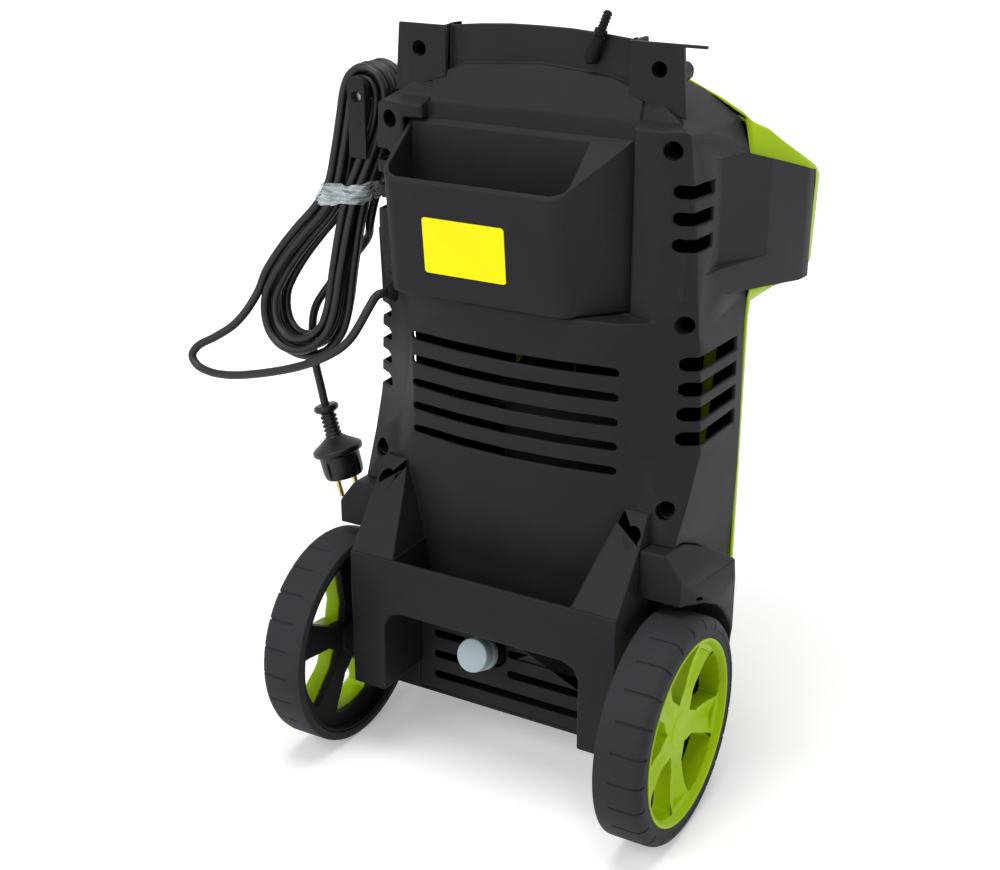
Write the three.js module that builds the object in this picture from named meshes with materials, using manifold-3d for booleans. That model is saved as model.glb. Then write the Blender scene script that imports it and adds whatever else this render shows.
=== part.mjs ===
// A pressure washer on two wheels, with its mains cord hung on the side hook.
// Millimetres, +Z up. The back faces +Y and the cord hook is on the +X side.
// Inside the machine group, y = 0 is the wheel axle line and z = 0 the floor.
import * as THREE from 'three';
import { mergeVertices } from 'three/addons/utils/BufferGeometryUtils.js';
import Module from 'manifold-3d';

const wasm = await Module();
wasm.setup();

// Making and fits
const fit = 0.3;
const overrun = 8;
const weld = 1e-4;
const wall = 3;
const roundSides = 8;
const smallSides = 6;
const fineSides = 16;
const wheelSides = 28;

// Wheels
const wheelRadius = 90;
const wheelWidth = 39;
const wheelFaceX = 170;
const treadWall = 7;
const tyreLip = 5;
const tyreShoulder = 8;
const rimRadius = 74.2;
const rimBand = 8;
const barrelWall = 3;
const trimDish = 9;
const trimPlate = 5;
const trimPocketWall = 2;
const spokeTurn = 37;
const trimWall = 30;
const webWall = 6;
const hubRadius = 13;
const spokeCount = 5;
const axleRadius = 5;
const axleClipRadius = 9;
const axleClipWall = 1.8;

// Rear casing, measured from the axle line, the middle and the floor
const casingHeight = 575;
const casingHalfWidth = 146;
const cornerSetback = 58;
const seamSetback = 131;
const ledgeHeight = 397;
const panelHalfWidth = 90;
const bandHalfWidth = 107;
const panelSetback = 24;
const panelCrown = 10;
const recessSetback = 50;
const casingFoot = 150;
const pillarTop = 536;
const pillarDrop = 14;
const recessHalfWidth = 88;
const recessLeft = 104;

// Vents in the rear casing
const slotPitch = 19.6;
const slotHeight = 7;
const rearSlotReach = 90.6;
const rearSlotTop = 359.3;
const rearSlotCount = 5;
const sideSlotHeight = 11;
const sideSlotTop = 364.2;
const sideSlotCount = 4;
const sideSlotInner = 125;
const sideSlotFront = 118;
const wingSlotHeight = 10;
const wingSlotTop = 494;
const wingSlotCount = 3;
const wingSlotInner = 118;
const wingSlotFront = 76;

// Arms, tray, bumper and legs at the back
const bumperHalfWidth = 119;
const bumperReach = 30;
const bumperTop = 187;
const bumperFoot = 66;
const archHalfWidth = 88;
const archTop = 140;
const archRound = 14;
const trayHalfWidth = 79;
const trayFloor = 145;
const armTop = 290;
const armWedge = 23;
const axleBossRadius = 10;

// Crown flange, handle plates and hose nipple
const crownRise = 23;
const crownHeight = casingHeight + crownRise;
const crownDrop = 4.5;
const crownRoot = 62;
const crownSetback = 64.5;
const crownHalfWidth = 76;
const plateSetback = 56;
const plateOuter = 119;
const plateDrop = 4;
const plateTop = crownHeight - plateDrop;
const plateTall = 44.5;
const plateFoot = plateTop - plateTall;
const plateSlope = 15;
const plateFlare = 2;
const handleHoleX = 99;
const handleHoleDrop = 18.5;
const handleHoleZ = plateTop - handleHoleDrop;
const handleHoleRadius = 5.8;
const handleBossRadius = 7.5;
const handleBossX = 108;
const handleBossDrop = 22;
const bracketDepth = 26;
const lipReach = 134;
const lipWall = 2;
const nippleX = 44;
const nippleDrop = 19;
const nippleZ = crownHeight - nippleDrop;
const nippleSetback = 55;
const nippleRadius = 4.2;
const nippleTipRadius = 2.7;
const nippleLength = 36;
const nippleLean = 0.38;

// Side wings and the cord hook
const wingRootWidth = 130;
const wingRootSetback = 46;
const wingRootTop = 533;
const wingRootFoot = 414;
const wingReach = 22;
const wingTipWidth = casingHalfWidth + wingReach;
const wingTipSetback = 187;
const wingTipTop = 489;
const wingTipFoot = 400;
const wingFront = 203;
const wingRecessTop = 512;
const wingRecessFoot = 430;
const wingRecessSetback = 92;
const wingRecessWidth = 136;
const wingRecessEnd = 140;
const wingRecessTaper = 0.666;
const hookWidth = 16.5;
const hookProud = 1.5;
const hookOuter = wingTipWidth + hookProud;
const hookInner = hookOuter - hookWidth;
const hookFoot = 516;
const hookTop = 549;
const hookTongue = 32;
const hookTongueWall = 3.5;
const hookReach = 60;
const hookHead = 7.5;
const hookNeck = 6;
const hookNeckTop = 540.5;
const hookNeckFoot = 530;
const hookRoot = 112;
const hookScrewRadius = 4;

// Front casing and what it carries
const frontSetback = 215;
const frontFoot = 60;
const panelTrimHalfWidth = 62;
const panelTrimFoot = 170;
const panelTrimTop = 470;
const panelTrimWall = 3.7;
const knobRadius = 24;
const knobDepth = 13;
const knobHeight = 400;
const knobGrip = 9;
const switchBoxHalfWidth = 27;
const switchBoxHalfHeight = 32;
const switchBoxDepth = 42;
const knobShaftRadius = 4;

// Chassis, fenders and feet
const tubFront = 190;
const tubFoot = 38;
const fenderReach = 46;
const fenderWidth = bumperHalfWidth + fenderReach;
const fenderHeight = 229;
const fenderRear = 8;
const fenderFront = 128;
const wheelWell = 100;
const grilleHalfWidth = 91;
const grilleSetback = 30;
const grilleFoot = 41;
const grilleSlotReach = 77;
const grilleSlotTop = 96;
const grilleSlotCount = 3;
const footX = 74;
const footHalfWidth = 17;
const footRear = 168;
const footPad = 7.7;

// Tool pocket and its sticker
const pocketLeft = 103;
const pocketRight = 57;
const pocketRim = 488;
const pocketBack = 520;
const pocketReach = 0;
const pocketLean = 9;
const pocketWall = 4;
const pocketFloor = 408;
const flankHalfWidth = 85;
const stickerRight = -5;
const stickerLeft = 65;
const stickerFoot = 418.5;
const stickerTop = 462;
const stickerWall = 0.6;

// Motor and pump on one upright axis
const motorSetback = 125;
const shaftRadius = 6;
const shaftGap = 1;
const motorRadius = 55;
const motorFoot = 158;
const motorTop = 300;
const statorFoot = 178;
const statorTop = 258;
const rotorRadius = 33;
const airGap = 1;
const bearingRadius = 13;
const bearingWidth = 7;
const bracketWall = 8;
const fanFoot = 318;
const fanRadius = 44;
const fanDepth = 16;
const fanBlades = 6;
const pumpRadius = 41;
const pumpFoot = 84;
const headFoot = 48;
const headHalfWidth = 34;
const plungerRadius = 6.5;
const plungerCircle = 20;
const plungerCount = 3;
const plungerFoot = 62;
const swashRadius = 31;
const swashTop = 134;
const swashTilt = 0.14;
const springWall = 2;
const inletX = 20;
const inletZ = 71;
const inletTilt = 0.35;
const inletRadius = 11;
const inletLength = 100;
const capRadius = 14;
const capLength = 20;
const outletX = -20;
const outletZ = 66;
const outletRadius = 11;
const capacitorRadius = 17.5;
const capacitorFoot = 190;
const capacitorLength = 60;

// Screws in their wells
const wellRadius = 6.8;
const wellWall = 2.2;
const wellDepth = 118;
const pillarWellX = 118;
const pillarWellHeight = 523;
const pillarWellDepth = 44;
const middleWellX = 129;
const middleWellHeight = 395;
const middleWellDepth = 49;
const upperArmWellX = 127;
const upperArmWellHeight = 253;
const upperArmWellDepth = 36;
const lowerArmWellX = 110;
const lowerArmWellHeight = 236;
const lowerArmWellDepth = 27;
const screwHeadRadius = 4;
const screwHeadDepth = 3;
const screwShankRadius = 2;
const screwLength = 26;

// Mains cord
const cordRadius = 3.6;
const cordSides = 8;
const hankSides = 6;
const hankEnd = 7.79;
const hankPhase = 0.13;
const hankPitch = 8.25;
const hankTopSetback = 86;
const hankFootSetback = 50;
const hankTopHeight = 505;
const hankFootHeight = 316;
const tieFoot = 446;
const tieTop = 461;
const tieWall = 1;
const leadSteps = 46;
const dropSteps = 28;
const fineSteps = 1200;
const fineReach = 30;

// Cord gland and mains plug
const glandX = 119;
const glandZ = 384;
const glandSetback = 49;
const glandLength = 10;
const glandRadius = 7;
const glandLip = 1.4;
const glandTurn = 0.55;
const plugTop = [212.3, -72, 261.5];
const plugAxis = [-0.277, 0, -0.961];
const plugLength = 66;
const plugFlange = 22;
const plugSides = 12;
const pinReach = 9.5;
const pinRadius = 2.4;
const pinLength = 19;

const skins = {
  blackPlastic: { color: 0x26262a, roughness: 0.55 },
  softBlack: { color: 0x1d1d20, roughness: 0.75 },
  greenPlastic: { color: 0x9cc40e, roughness: 0.4 },
  greyPlastic: { color: 0xbac4c8, roughness: 0.45 },
  darkTrim: { color: 0x3a3b3f, roughness: 0.5 },
  rubber: { color: 0x151517, roughness: 0.8 },
  steel: { color: 0xa9adb2, roughness: 0.35, metalness: 1 },
  castMetal: { color: 0x9b9d9f, roughness: 0.6, metalness: 0.9 },
  copper: { color: 0x8f4a22, roughness: 0.45, metalness: 0.8 },
  yellow: { color: 0xf5e400, roughness: 0.5 },
  tape: { color: 0xe4e9ea, roughness: 0.25 },
};
const finish = Object.fromEntries(
  Object.entries(skins).map(([name, look]) => [name, new THREE.MeshStandardMaterial(look)]),
);

const machine = new THREE.Group();
const knobFace = frontSetback + panelTrimWall + knobDepth + fit;
machine.position.y = (knobFace - wheelRadius) / 2;

// Turns a closed geometry into a solid that can be joined and cut.
function solid(geometry) {
  const bare = geometry.clone();
  bare.deleteAttribute('normal');
  bare.deleteAttribute('uv');
  const joined = mergeVertices(bare, weld);
  return new wasm.Manifold(new wasm.Mesh({
    numProp: 3,
    vertProperties: Float32Array.from(joined.attributes.position.array),
    triVerts: Uint32Array.from(joined.index.array),
  }));
}

function addMesh(name, geometry, look, parent = machine) {
  const mesh = new THREE.Mesh(geometry, finish[look]);
  mesh.name = name;
  parent.add(mesh);
  return mesh;
}

function addPiece(name, form, look, parent = machine) {
  const { vertProperties, triVerts } = form.getMesh();
  const geometry = new THREE.BufferGeometry();
  geometry.setAttribute('position', new THREE.BufferAttribute(Float32Array.from(vertProperties), 3));
  geometry.setIndex(new THREE.BufferAttribute(Uint32Array.from(triVerts), 1));
  geometry.computeVertexNormals();
  return addMesh(name, geometry, look, parent);
}

const union = (...forms) => forms.reduce((whole, form) => whole.add(form));

function block([x0, x1], [y0, y1], [z0, z1]) {
  const box = new THREE.BoxGeometry(x1 - x0, y1 - y0, z1 - z0);
  return solid(box.translate((x0 + x1) / 2, (y0 + y1) / 2, (z0 + z1) / 2));
}

// Extrudes an outline of (y, z), (x, z) or (x, y) points along x, y or z.
function prism(axis, outline, from, to) {
  const shape = new THREE.Shape(outline.map(([u, v]) => new THREE.Vector2(u, v)));
  const body = new THREE.ExtrudeGeometry(shape, { depth: to - from, bevelEnabled: false, steps: 1 });
  if (axis === 'x') {
    body.rotateX(Math.PI / 2).rotateZ(Math.PI / 2).translate(from, 0, 0);
  } else if (axis === 'y') {
    body.rotateX(Math.PI / 2).translate(0, to, 0);
  } else {
    body.translate(0, 0, from);
  }
  return solid(body);
}

function circle(radius, sides, [u, v] = [0, 0]) {
  return Array.from({ length: sides }, (_, i) => {
    const angle = ((i + 0.5) / sides) * 2 * Math.PI;
    return [u + radius * Math.cos(angle), v + radius * Math.sin(angle)];
  });
}

const rod = (axis, radius, from, to, centre, sides = roundSides) =>
  prism(axis, circle(radius, sides, centre), from, to);

const ring = (axis, outer, inner, from, to, centre, sides = fineSides) =>
  rod(axis, outer, from, to, centre, sides)
    .subtract(rod(axis, inner, from - overrun, to + overrun, centre, sides));

// A slot with round ends along x, cut along y.
function slot([x0, x1], height, z, from, to) {
  const round = height / 2;
  const middle = block([x0 + round, x1 - round], [from, to], [z - round, z + round]);
  return union(middle, ...[x0 + round, x1 - round].map((x) => rod('y', round, from, to, [x, z], smallSides)));
}

// Joins outlines of equal point counts, lowest first, each [points, z], seen from above
// anticlockwise.
function loft(levels) {
  const count = levels[0][0].length;
  const points = [];
  const faces = [];
  levels.forEach(([outline, z]) => outline.forEach(([x, y]) => points.push(x, y, z)));
  for (let row = 0; row + 1 < levels.length; row += 1) {
    for (let i = 0; i < count; i += 1) {
      const next = (i + 1) % count;
      const low = row * count;
      const high = low + count;
      faces.push(low + i, low + next, high + next);
      faces.push(low + i, high + next, high + i);
    }
  }
  const cap = (outline) => THREE.ShapeUtils.triangulateShape(
    outline.map(([x, y]) => new THREE.Vector2(x, y)),
    [],
  );
  cap(levels[0][0]).forEach(([a, b, c]) => faces.push(c, b, a));
  const last = (levels.length - 1) * count;
  cap(levels.at(-1)[0]).forEach(([a, b, c]) => faces.push(last + a, last + b, last + c));
  const geometry = new THREE.BufferGeometry();
  geometry.setAttribute('position', new THREE.Float32BufferAttribute(points, 3));
  geometry.setIndex(faces);
  return solid(geometry);
}

// Moves every side of an anticlockwise outline inwards by the same depth.
function inset(outline, depth) {
  const count = outline.length;
  const inward = ([ax, ay], [bx, by]) => {
    const length = Math.hypot(bx - ax, by - ay);
    return [-(by - ay) / length, (bx - ax) / length];
  };
  return outline.map((point, i) => {
    const before = inward(outline[(i + count - 1) % count], point);
    const after = inward(point, outline[(i + 1) % count]);
    const scale = depth / (1 + before[0] * after[0] + before[1] * after[1]);
    return [point[0] + (before[0] + after[0]) * scale, point[1] + (before[1] + after[1]) * scale];
  });
}

const mirrored = (half) => [...half, ...half.toReversed().filter(([x]) => x !== 0).map(([x, z]) => [-x, z])];
const flip = (form) => form.mirror([1, 0, 0]);
const bothSides = (form) => union(form, flip(form));
const scaled = (shares, width, height) => shares.map(([u, v]) => [u * width, v * height]);

// A turned form about z from a closed outline of (radius, height) points.
function turned(outline, sides = fineSides) {
  const profile = [...outline, outline[0]].map(([r, z]) => new THREE.Vector2(r, z));
  const body = new THREE.LatheGeometry(profile, sides);
  return solid(body.rotateX(Math.PI / 2));
}

// Rear casing levels: height, band setback, corner width, corner setback and seam width,
// as shares of the casing height, the corner setback and the casing half width.
const lowerLevelShares = [
  [0.261, 0.414, 0.918, 0.414, 0.973],
  [0.32, 0.414, 0.925, 0.414, 0.979],
  [0.395, 0.44, 0.952, 0.466, 0.993],
  [0.447, 0.517, 0.966, 0.741, 1],
  [0.508, 0.62, 0.979, 1, 1],
  [0.633, 0.638, 0.959, 1, 0.993],
  [0.6904, 0.655, 0.945, 0.966, 0.99],
];
const upperLevelShares = [
  [0.66, 0.68, 0.95, 0.98, 0.99],
  [0.757, 0.7, 0.938, 0.88, 0.986],
  [0.87, 0.69, 0.911, 0.81, 0.973],
  [0.9322, 0.66, 0.89, 0.776, 0.945],
  [0.941, 0.9, 0.876, 0.88, 0.94],
  [1.01, 1.1, 0.856, 1.1, 0.89],
];
const casingOutlineShares = [
  [0, 0.2], [1.1, 0.2], [1.1, 0.83], [0.966, 0.885], [0.904, 0.927], [0.7, 0.96], [0.41, 0.985], [0, 0.993],
];

function casingLevel([z, band, cornerX, cornerY, seamX], upper, front) {
  const centreY = upper ? recessSetback : panelSetback - panelCrown;
  const half = [
    [seamX * casingHalfWidth, -front],
    [cornerX * casingHalfWidth, -cornerY * cornerSetback],
    [bandHalfWidth, -band * cornerSetback],
  ];
  if (upper) {
    const recess = Math.max(recessSetback, band * cornerSetback);
    half.push([recessHalfWidth, -(band + 0.04) * cornerSetback], [recessHalfWidth - 2 * fit, -recess - fit]);
    half.push([0, -Math.max(centreY, recess)]);
  } else {
    half.push([panelHalfWidth, -panelSetback], [panelHalfWidth / 2, -centreY - panelCrown / 4], [0, -centreY]);
  }
  return [mirrored(half), z * casingHeight];
}

const casingLevels = (shares, upper, front, depth) => shares.map((share) => {
  const [outline, z] = casingLevel(share, upper, front);
  return [depth ? inset(outline, depth) : outline, z];
});

const casingOutline = mirrored(scaled(casingOutlineShares, casingHalfWidth, casingHeight));

function casingForm(depth, front) {
  const lower = casingLevels(lowerLevelShares, false, front, depth);
  const upper = casingLevels(upperLevelShares, true, front, depth);
  lower.at(-1)[1] -= depth;
  const form = depth
    ? union(loft([[lower[0][0], casingFoot - overrun], ...lower.slice(1)]), loft(upper))
    : union(loft(lower), loft(upper));
  return form.intersect(prism('y', depth ? inset(casingOutline, depth) : casingOutline, -front, bumperReach));
}

// One arm that sweeps from the rear panel down to the bumper: [z, inner x, outer x, inner y, outer y].
function armForm(depth) {
  const arm = (rows) => loft(rows.map(([z, inner, outer, innerY, outerY]) => [[
    [inner + depth, -cornerSetback - overrun + depth],
    [outer - depth, -cornerSetback - overrun + depth],
    [outer - depth, outerY - depth],
    [inner + depth, innerY - depth],
  ], z]));
  const knee = fenderHeight - fit;
  const spread = panelHalfWidth - trayHalfWidth;
  const corner = casingHalfWidth * lowerLevelShares[2][2];
  const kneeY = bumperReach - (knee - bumperTop) * 0.85;
  const low = arm([
    [bumperTop - wall - (depth ? overrun : 0), trayHalfWidth, bumperHalfWidth, bumperReach, bumperReach],
    [bumperTop - wall, trayHalfWidth, bumperHalfWidth, bumperReach, bumperReach],
    [knee, trayHalfWidth + spread, bumperHalfWidth, kneeY, kneeY - fit * 2],
    ...(depth ? [] : [[
      knee + armWedge, trayHalfWidth + spread * 1.7, bumperHalfWidth - wall / 2,
      kneeY - armWedge * 0.85, kneeY - armWedge * 0.85,
    ]]),
  ]);
  const high = arm([
    [knee - wall, panelHalfWidth + wall / 2, corner, -panelSetback * 0.9, -panelSetback * 1.08],
    [armTop, bandHalfWidth, corner + wall, -panelSetback * 1.6, -cornerSetback],
  ]);
  return union(low, high);
}

const wellPlaces = [
  ['right_pillar_screw', -pillarWellX, pillarWellHeight, pillarWellDepth],
  ['left_pillar_screw', pillarWellX, pillarWellHeight, pillarWellDepth],
  ['right_middle_screw', -middleWellX, middleWellHeight, middleWellDepth],
  ['right_upper_arm_screw', -upperArmWellX, upperArmWellHeight, upperArmWellDepth],
  ['left_upper_arm_screw', upperArmWellX, upperArmWellHeight, upperArmWellDepth],
  ['right_lower_arm_screw', -lowerArmWellX, lowerArmWellHeight, lowerArmWellDepth],
  ['left_lower_arm_screw', lowerArmWellX, lowerArmWellHeight, lowerArmWellDepth],
];

function sideSlots(inner, front, height, top, count) {
  const round = height / 2;
  return Array.from({ length: count }, (_, i) => {
    const z = top - i * slotPitch;
    const reach = wingTipWidth;
    return union(
      block([inner + round, reach], [-front, 0], [z - round, z + round]),
      rod('y', round, -front, 0, [inner + round, z], smallSides),
    );
  });
}

function wingForm(gap = 0) {
  const slope = (rootZ, tipZ) => (setback) =>
    rootZ + ((tipZ - rootZ) * (setback - wingRootSetback)) / (wingTipSetback - wingRootSetback);
  const topZ = slope(wingRootTop + gap, wingTipTop + gap);
  const footZ = slope(wingRootFoot - gap, wingTipFoot - gap);
  const inner = casingHalfWidth * 0.78;
  const front = -wingFront - gap;
  const plan = [
    [inner, front], [wingTipWidth - fit + gap, front], [wingTipWidth + gap, -wingTipSetback],
    [wingRootWidth + gap, -wingRootSetback + gap], [inner, -wingRootSetback + gap],
  ];
  const side = [
    [-wingFront - overrun, footZ(wingFront + overrun)],
    [-wingRootSetback + overrun, footZ(wingRootSetback - overrun)],
    [-wingRootSetback + overrun, topZ(wingRootSetback - overrun)],
    [-wingFront - overrun, topZ(wingFront + overrun)],
  ];
  return prism('z', plan, wingTipFoot - overrun * 3, wingRootTop + overrun * 3)
    .intersect(prism('x', side, 0, wingTipWidth * 2));
}

// The hollow in the side of a wing, grown by a wall for the panel that backs it.
function recessForm(grow) {
  const tipX = wingRootWidth + (wingTipWidth - wingRootWidth) * wingRecessTaper;
  const out = wingTipWidth + overrun;
  return prism('z', [
    [out, -wingRootSetback + overrun], [wingRecessWidth + wall - grow, -wingRootSetback + overrun],
    [wingRecessWidth + wall - grow, -wingRootSetback - grow / 3], [wingRecessWidth - grow, -wingRecessSetback - grow / 3],
    [tipX - grow / 2, -wingRecessEnd - grow], [out, -wingRecessEnd - grow],
  ], wingRecessFoot - grow, wingRecessTop + grow);
}

function addRearCasing() {
  let shell = casingForm(0, seamSetback);
  const bumper = block([-bumperHalfWidth, bumperHalfWidth], [-panelSetback - wall, bumperReach], [bumperFoot, bumperTop]);
  const arch = [
    [archHalfWidth, bumperFoot - overrun], [archHalfWidth, archTop - archRound],
    [archHalfWidth - archRound * 0.3, archTop - archRound * 0.3], [archHalfWidth - archRound, archTop],
  ];
  const tray = block([-trayHalfWidth, trayHalfWidth], [-panelSetback, bumperReach - wall], [trayFloor, bumperTop + overrun]);
  const frame = bumper.subtract(prism('y', mirrored(arch), -seamSetback, bumperReach + overrun)).subtract(tray);
  shell = union(shell, frame, bothSides(armForm(0)));

  // The wings stand out beside the front casing.
  const wings = bothSides(wingForm())
    .subtract(block(
      [-casingHalfWidth - fit, casingHalfWidth + fit],
      [-wingFront - overrun, -seamSetback + fit],
      [frontFoot, casingHeight],
    ));
  shell = union(shell, wings);

  // Everything behind the outer skin is hollow and open to the front and below.
  shell = shell.subtract(casingForm(wall, seamSetback + overrun * 2));
  shell = shell.subtract(bothSides(armForm(wall).intersect(block(
    [0, casingHalfWidth], [-seamSetback, bumperReach], [bumperTop - wall * 2, armTop],
  ))));
  const legHollow = block(
    [archHalfWidth + wall, bumperHalfWidth - wall],
    [-cornerSetback, bumperReach - wall],
    [bumperFoot + wall, bumperTop],
  );
  shell = shell.subtract(bothSides(legHollow));
  const legBoss = rod('x', axleBossRadius, archHalfWidth, bumperHalfWidth + wall, [0, wheelRadius], fineSides);
  shell = union(shell, bothSides(legBoss));

  // Screw wells run from the rear skin to the front casing's posts, within the outer skin.
  const outerSkin = union(casingForm(0, seamSetback), bothSides(armForm(0)));
  for (const [, x, z, depth] of wellPlaces) {
    const post = rod('y', wellRadius + wellWall, -seamSetback, -depth - wall / 2, [x, z], smallSides);
    shell = union(shell, post.intersect(outerSkin));
  }

  // On the hook side the pocket takes the place of the pillar's inner edge.
  const recessWall = block(
    [recessHalfWidth - wall, recessLeft + wall],
    [-recessSetback - wall - fit, -recessSetback - fit],
    [ledgeHeight - wall, pocketBack],
  );
  const recessSide = block(
    [recessLeft, recessLeft + wall],
    [-recessSetback - wall, -cornerSetback * 0.7],
    [ledgeHeight - wall, pocketBack],
  );
  shell = union(shell, recessWall, recessSide).subtract(block(
    [recessHalfWidth - overrun, recessLeft],
    [-recessSetback - fit, overrun],
    [ledgeHeight, pocketBack + wall * 2],
  ));

  // Wing recesses with a rim above and below.
  const skin = union(wings, casingForm(0, seamSetback));
  shell = union(shell, bothSides(recessForm(wall)).intersect(skin));
  const wingBay = prism('z', inset([
    [casingHalfWidth + wall, -wingFront - overrun * 2], [wingTipWidth, -wingFront - overrun * 2],
    [wingTipWidth, -wingTipSetback], [wingTipWidth - wall * 4, -wingRecessEnd],
    [casingHalfWidth + wall, -wingRecessEnd + wall],
  ], wall), wingTipFoot + wall * 2, wingTipTop - wall);
  shell = shell.subtract(bothSides(recessForm(0))).subtract(bothSides(wingBay));

  // The hook side wing leaves room for the loops of cord.
  shell = shell.subtract(block(
    [casingHalfWidth * 0.938, wingTipWidth + overrun],
    [-hookRoot + wall * 2, overrun],
    [wingRecessTop - wall, casingHeight],
  ));

  // Crown flange, handle plates with their brackets and bosses.
  const crown = [
    [crownHalfWidth, crownHeight - crownRoot], [crownHalfWidth, crownHeight - crownDrop],
    [crownHalfWidth * 0.66, crownHeight - crownDrop * 0.43], [crownHalfWidth * 0.33, crownHeight - crownDrop * 0.07],
    [0, crownHeight],
  ];
  const flange = prism('y', mirrored(crown), -crownSetback - wall, -crownSetback);
  const plate = prism('y', [
    [crownHalfWidth - fit, plateFoot + plateSlope / 2], [plateOuter + plateFlare, plateFoot - plateSlope / 2],
    [plateOuter - plateFlare, plateTop], [crownHalfWidth - fit, plateTop],
  ], -plateSetback - wall, -plateSetback);
  const handleHoleReach = handleHoleRadius + wellWall;
  const bracket = union(
    block(
      [crownHalfWidth, crownHalfWidth + wall],
      [-plateSetback - bracketDepth, -plateSetback - wall / 2],
      [plateFoot, plateTop],
    ),
    rod('y', handleBossRadius, -plateSetback - bracketDepth, -plateSetback - wall / 2, [
      handleBossX, plateTop - handleBossDrop,
    ]),
    block(
      [handleHoleX - handleHoleReach, handleBossX],
      [-plateSetback - bracketDepth, -plateSetback - wall / 2],
      [handleHoleZ - handleHoleReach, handleHoleZ + handleHoleReach],
    ),
  );
  const lip = block([-lipReach, -handleHoleX], [-plateSetback - wall, -plateSetback], [plateTop - lipWall, plateTop]);
  shell = union(shell, flange, bothSides(union(plate, bracket)), lip);

  // Holes and vents.
  const handleHole = rod('y', handleHoleRadius, -plateSetback - bracketDepth + wall, -plateSetback + overrun, [handleHoleX, handleHoleZ]);
  shell = shell.subtract(bothSides(handleHole));
  shell = shell.subtract(rod('y', nippleRadius + fit, -crownSetback - overrun, -crownSetback + overrun, [-nippleX, nippleZ]));
  for (const [, x, z, depth] of wellPlaces) {
    const shaft = rod('y', wellRadius, -wellDepth, -depth + overrun * 4, [x, z]);
    shell = shell.subtract(shaft);
    shell = shell.subtract(rod('y', screwShankRadius + fit * 2, -seamSetback - overrun, -wellDepth + overrun, [x, z], smallSides));
  }
  for (let i = 0; i < rearSlotCount; i += 1) {
    const z = rearSlotTop - i * slotPitch;
    shell = shell.subtract(slot([-rearSlotReach, rearSlotReach], slotHeight, z, -panelSetback - wall * 3, 0));
  }
  const vents = [
    ...sideSlots(sideSlotInner, sideSlotFront, sideSlotHeight, sideSlotTop, sideSlotCount),
    ...sideSlots(wingSlotInner, wingSlotFront, wingSlotHeight, wingSlotTop, wingSlotCount),
  ];
  vents.forEach((vent) => {
    shell = shell.subtract(bothSides(vent));
  });
  const axleHole = rod('x', axleRadius + fit, archHalfWidth + wall, casingHalfWidth, [0, wheelRadius], fineSides);
  shell = shell.subtract(bothSides(axleHole));
  const wheelRoom = rod('x', wheelWell - wall, bumperHalfWidth + fit, casingHalfWidth + overrun, [0, wheelRadius], wheelSides);
  shell = shell.subtract(bothSides(fenderForm(fit))).subtract(bothSides(wheelRoom));
  shell = shell.subtract(gland(fit));
  addPiece('rear_casing', shell, 'blackPlastic');
}

// The fender outline from the side, then what its width follows from above and from behind.
const fenderSideShares = [
  [1, 0.22], [1, 0.57], [0.92, 0.72], [0.75, 0.852], [0.523, 0.934], [0.31, 0.987], [0.0625, 1],
  [0.0625, 0.83],
];

function fenderForm(gap = 0) {
  const side = fenderSideShares.map(([y, z]) => [-y * fenderFront - (y > 0.1 ? gap : -gap), z * fenderHeight + gap]);
  const across = (share) => bumperHalfWidth + (fenderWidth - bumperHalfWidth) * share;
  const plan = [
    [bumperHalfWidth - wall - gap, -fenderFront - gap], [across(0.52), -fenderFront - gap],
    [across(0.68), -fenderFront * 0.914], [fenderWidth, -wheelRadius],
    [fenderWidth, -wheelRadius * 0.5], [across(0.89), -panelSetback], [across(0.75), -fenderRear + gap],
    [bumperHalfWidth + fit - gap, -fenderRear + gap], [bumperHalfWidth + fit - gap, -cornerSetback],
    [bumperHalfWidth - wall - gap, -cornerSetback],
  ];
  const back = [
    [bumperHalfWidth - wall * 2, fenderHeight + overrun], [bumperHalfWidth - wall * 2, tubFoot],
    [fenderWidth + gap, tubFoot], [fenderWidth + gap, fenderHeight * 0.795],
    [across(0.93), fenderHeight * 0.84 + gap], [across(0.8), fenderHeight * 0.905 + gap],
    [across(0.5), fenderHeight * 0.985 + gap], [across(0.25), fenderHeight + overrun],
  ];
  return prism('x', side, 0, fenderWidth + overrun)
    .intersect(prism('z', plan, tubFoot, fenderHeight + overrun))
    .intersect(prism('y', back, -frontSetback, overrun));
}

// The plate that closes the front casing's foot.
const footShares = [[1, 1], [0.99, 1.22], [0.915, 1.37], [0.77, 1.49]];
const footPlan = (grow) => mirrored(
  scaled(footShares, bumperHalfWidth, -seamSetback).map(([x, y]) => [x + grow, y - grow]),
).toReversed();

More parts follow.
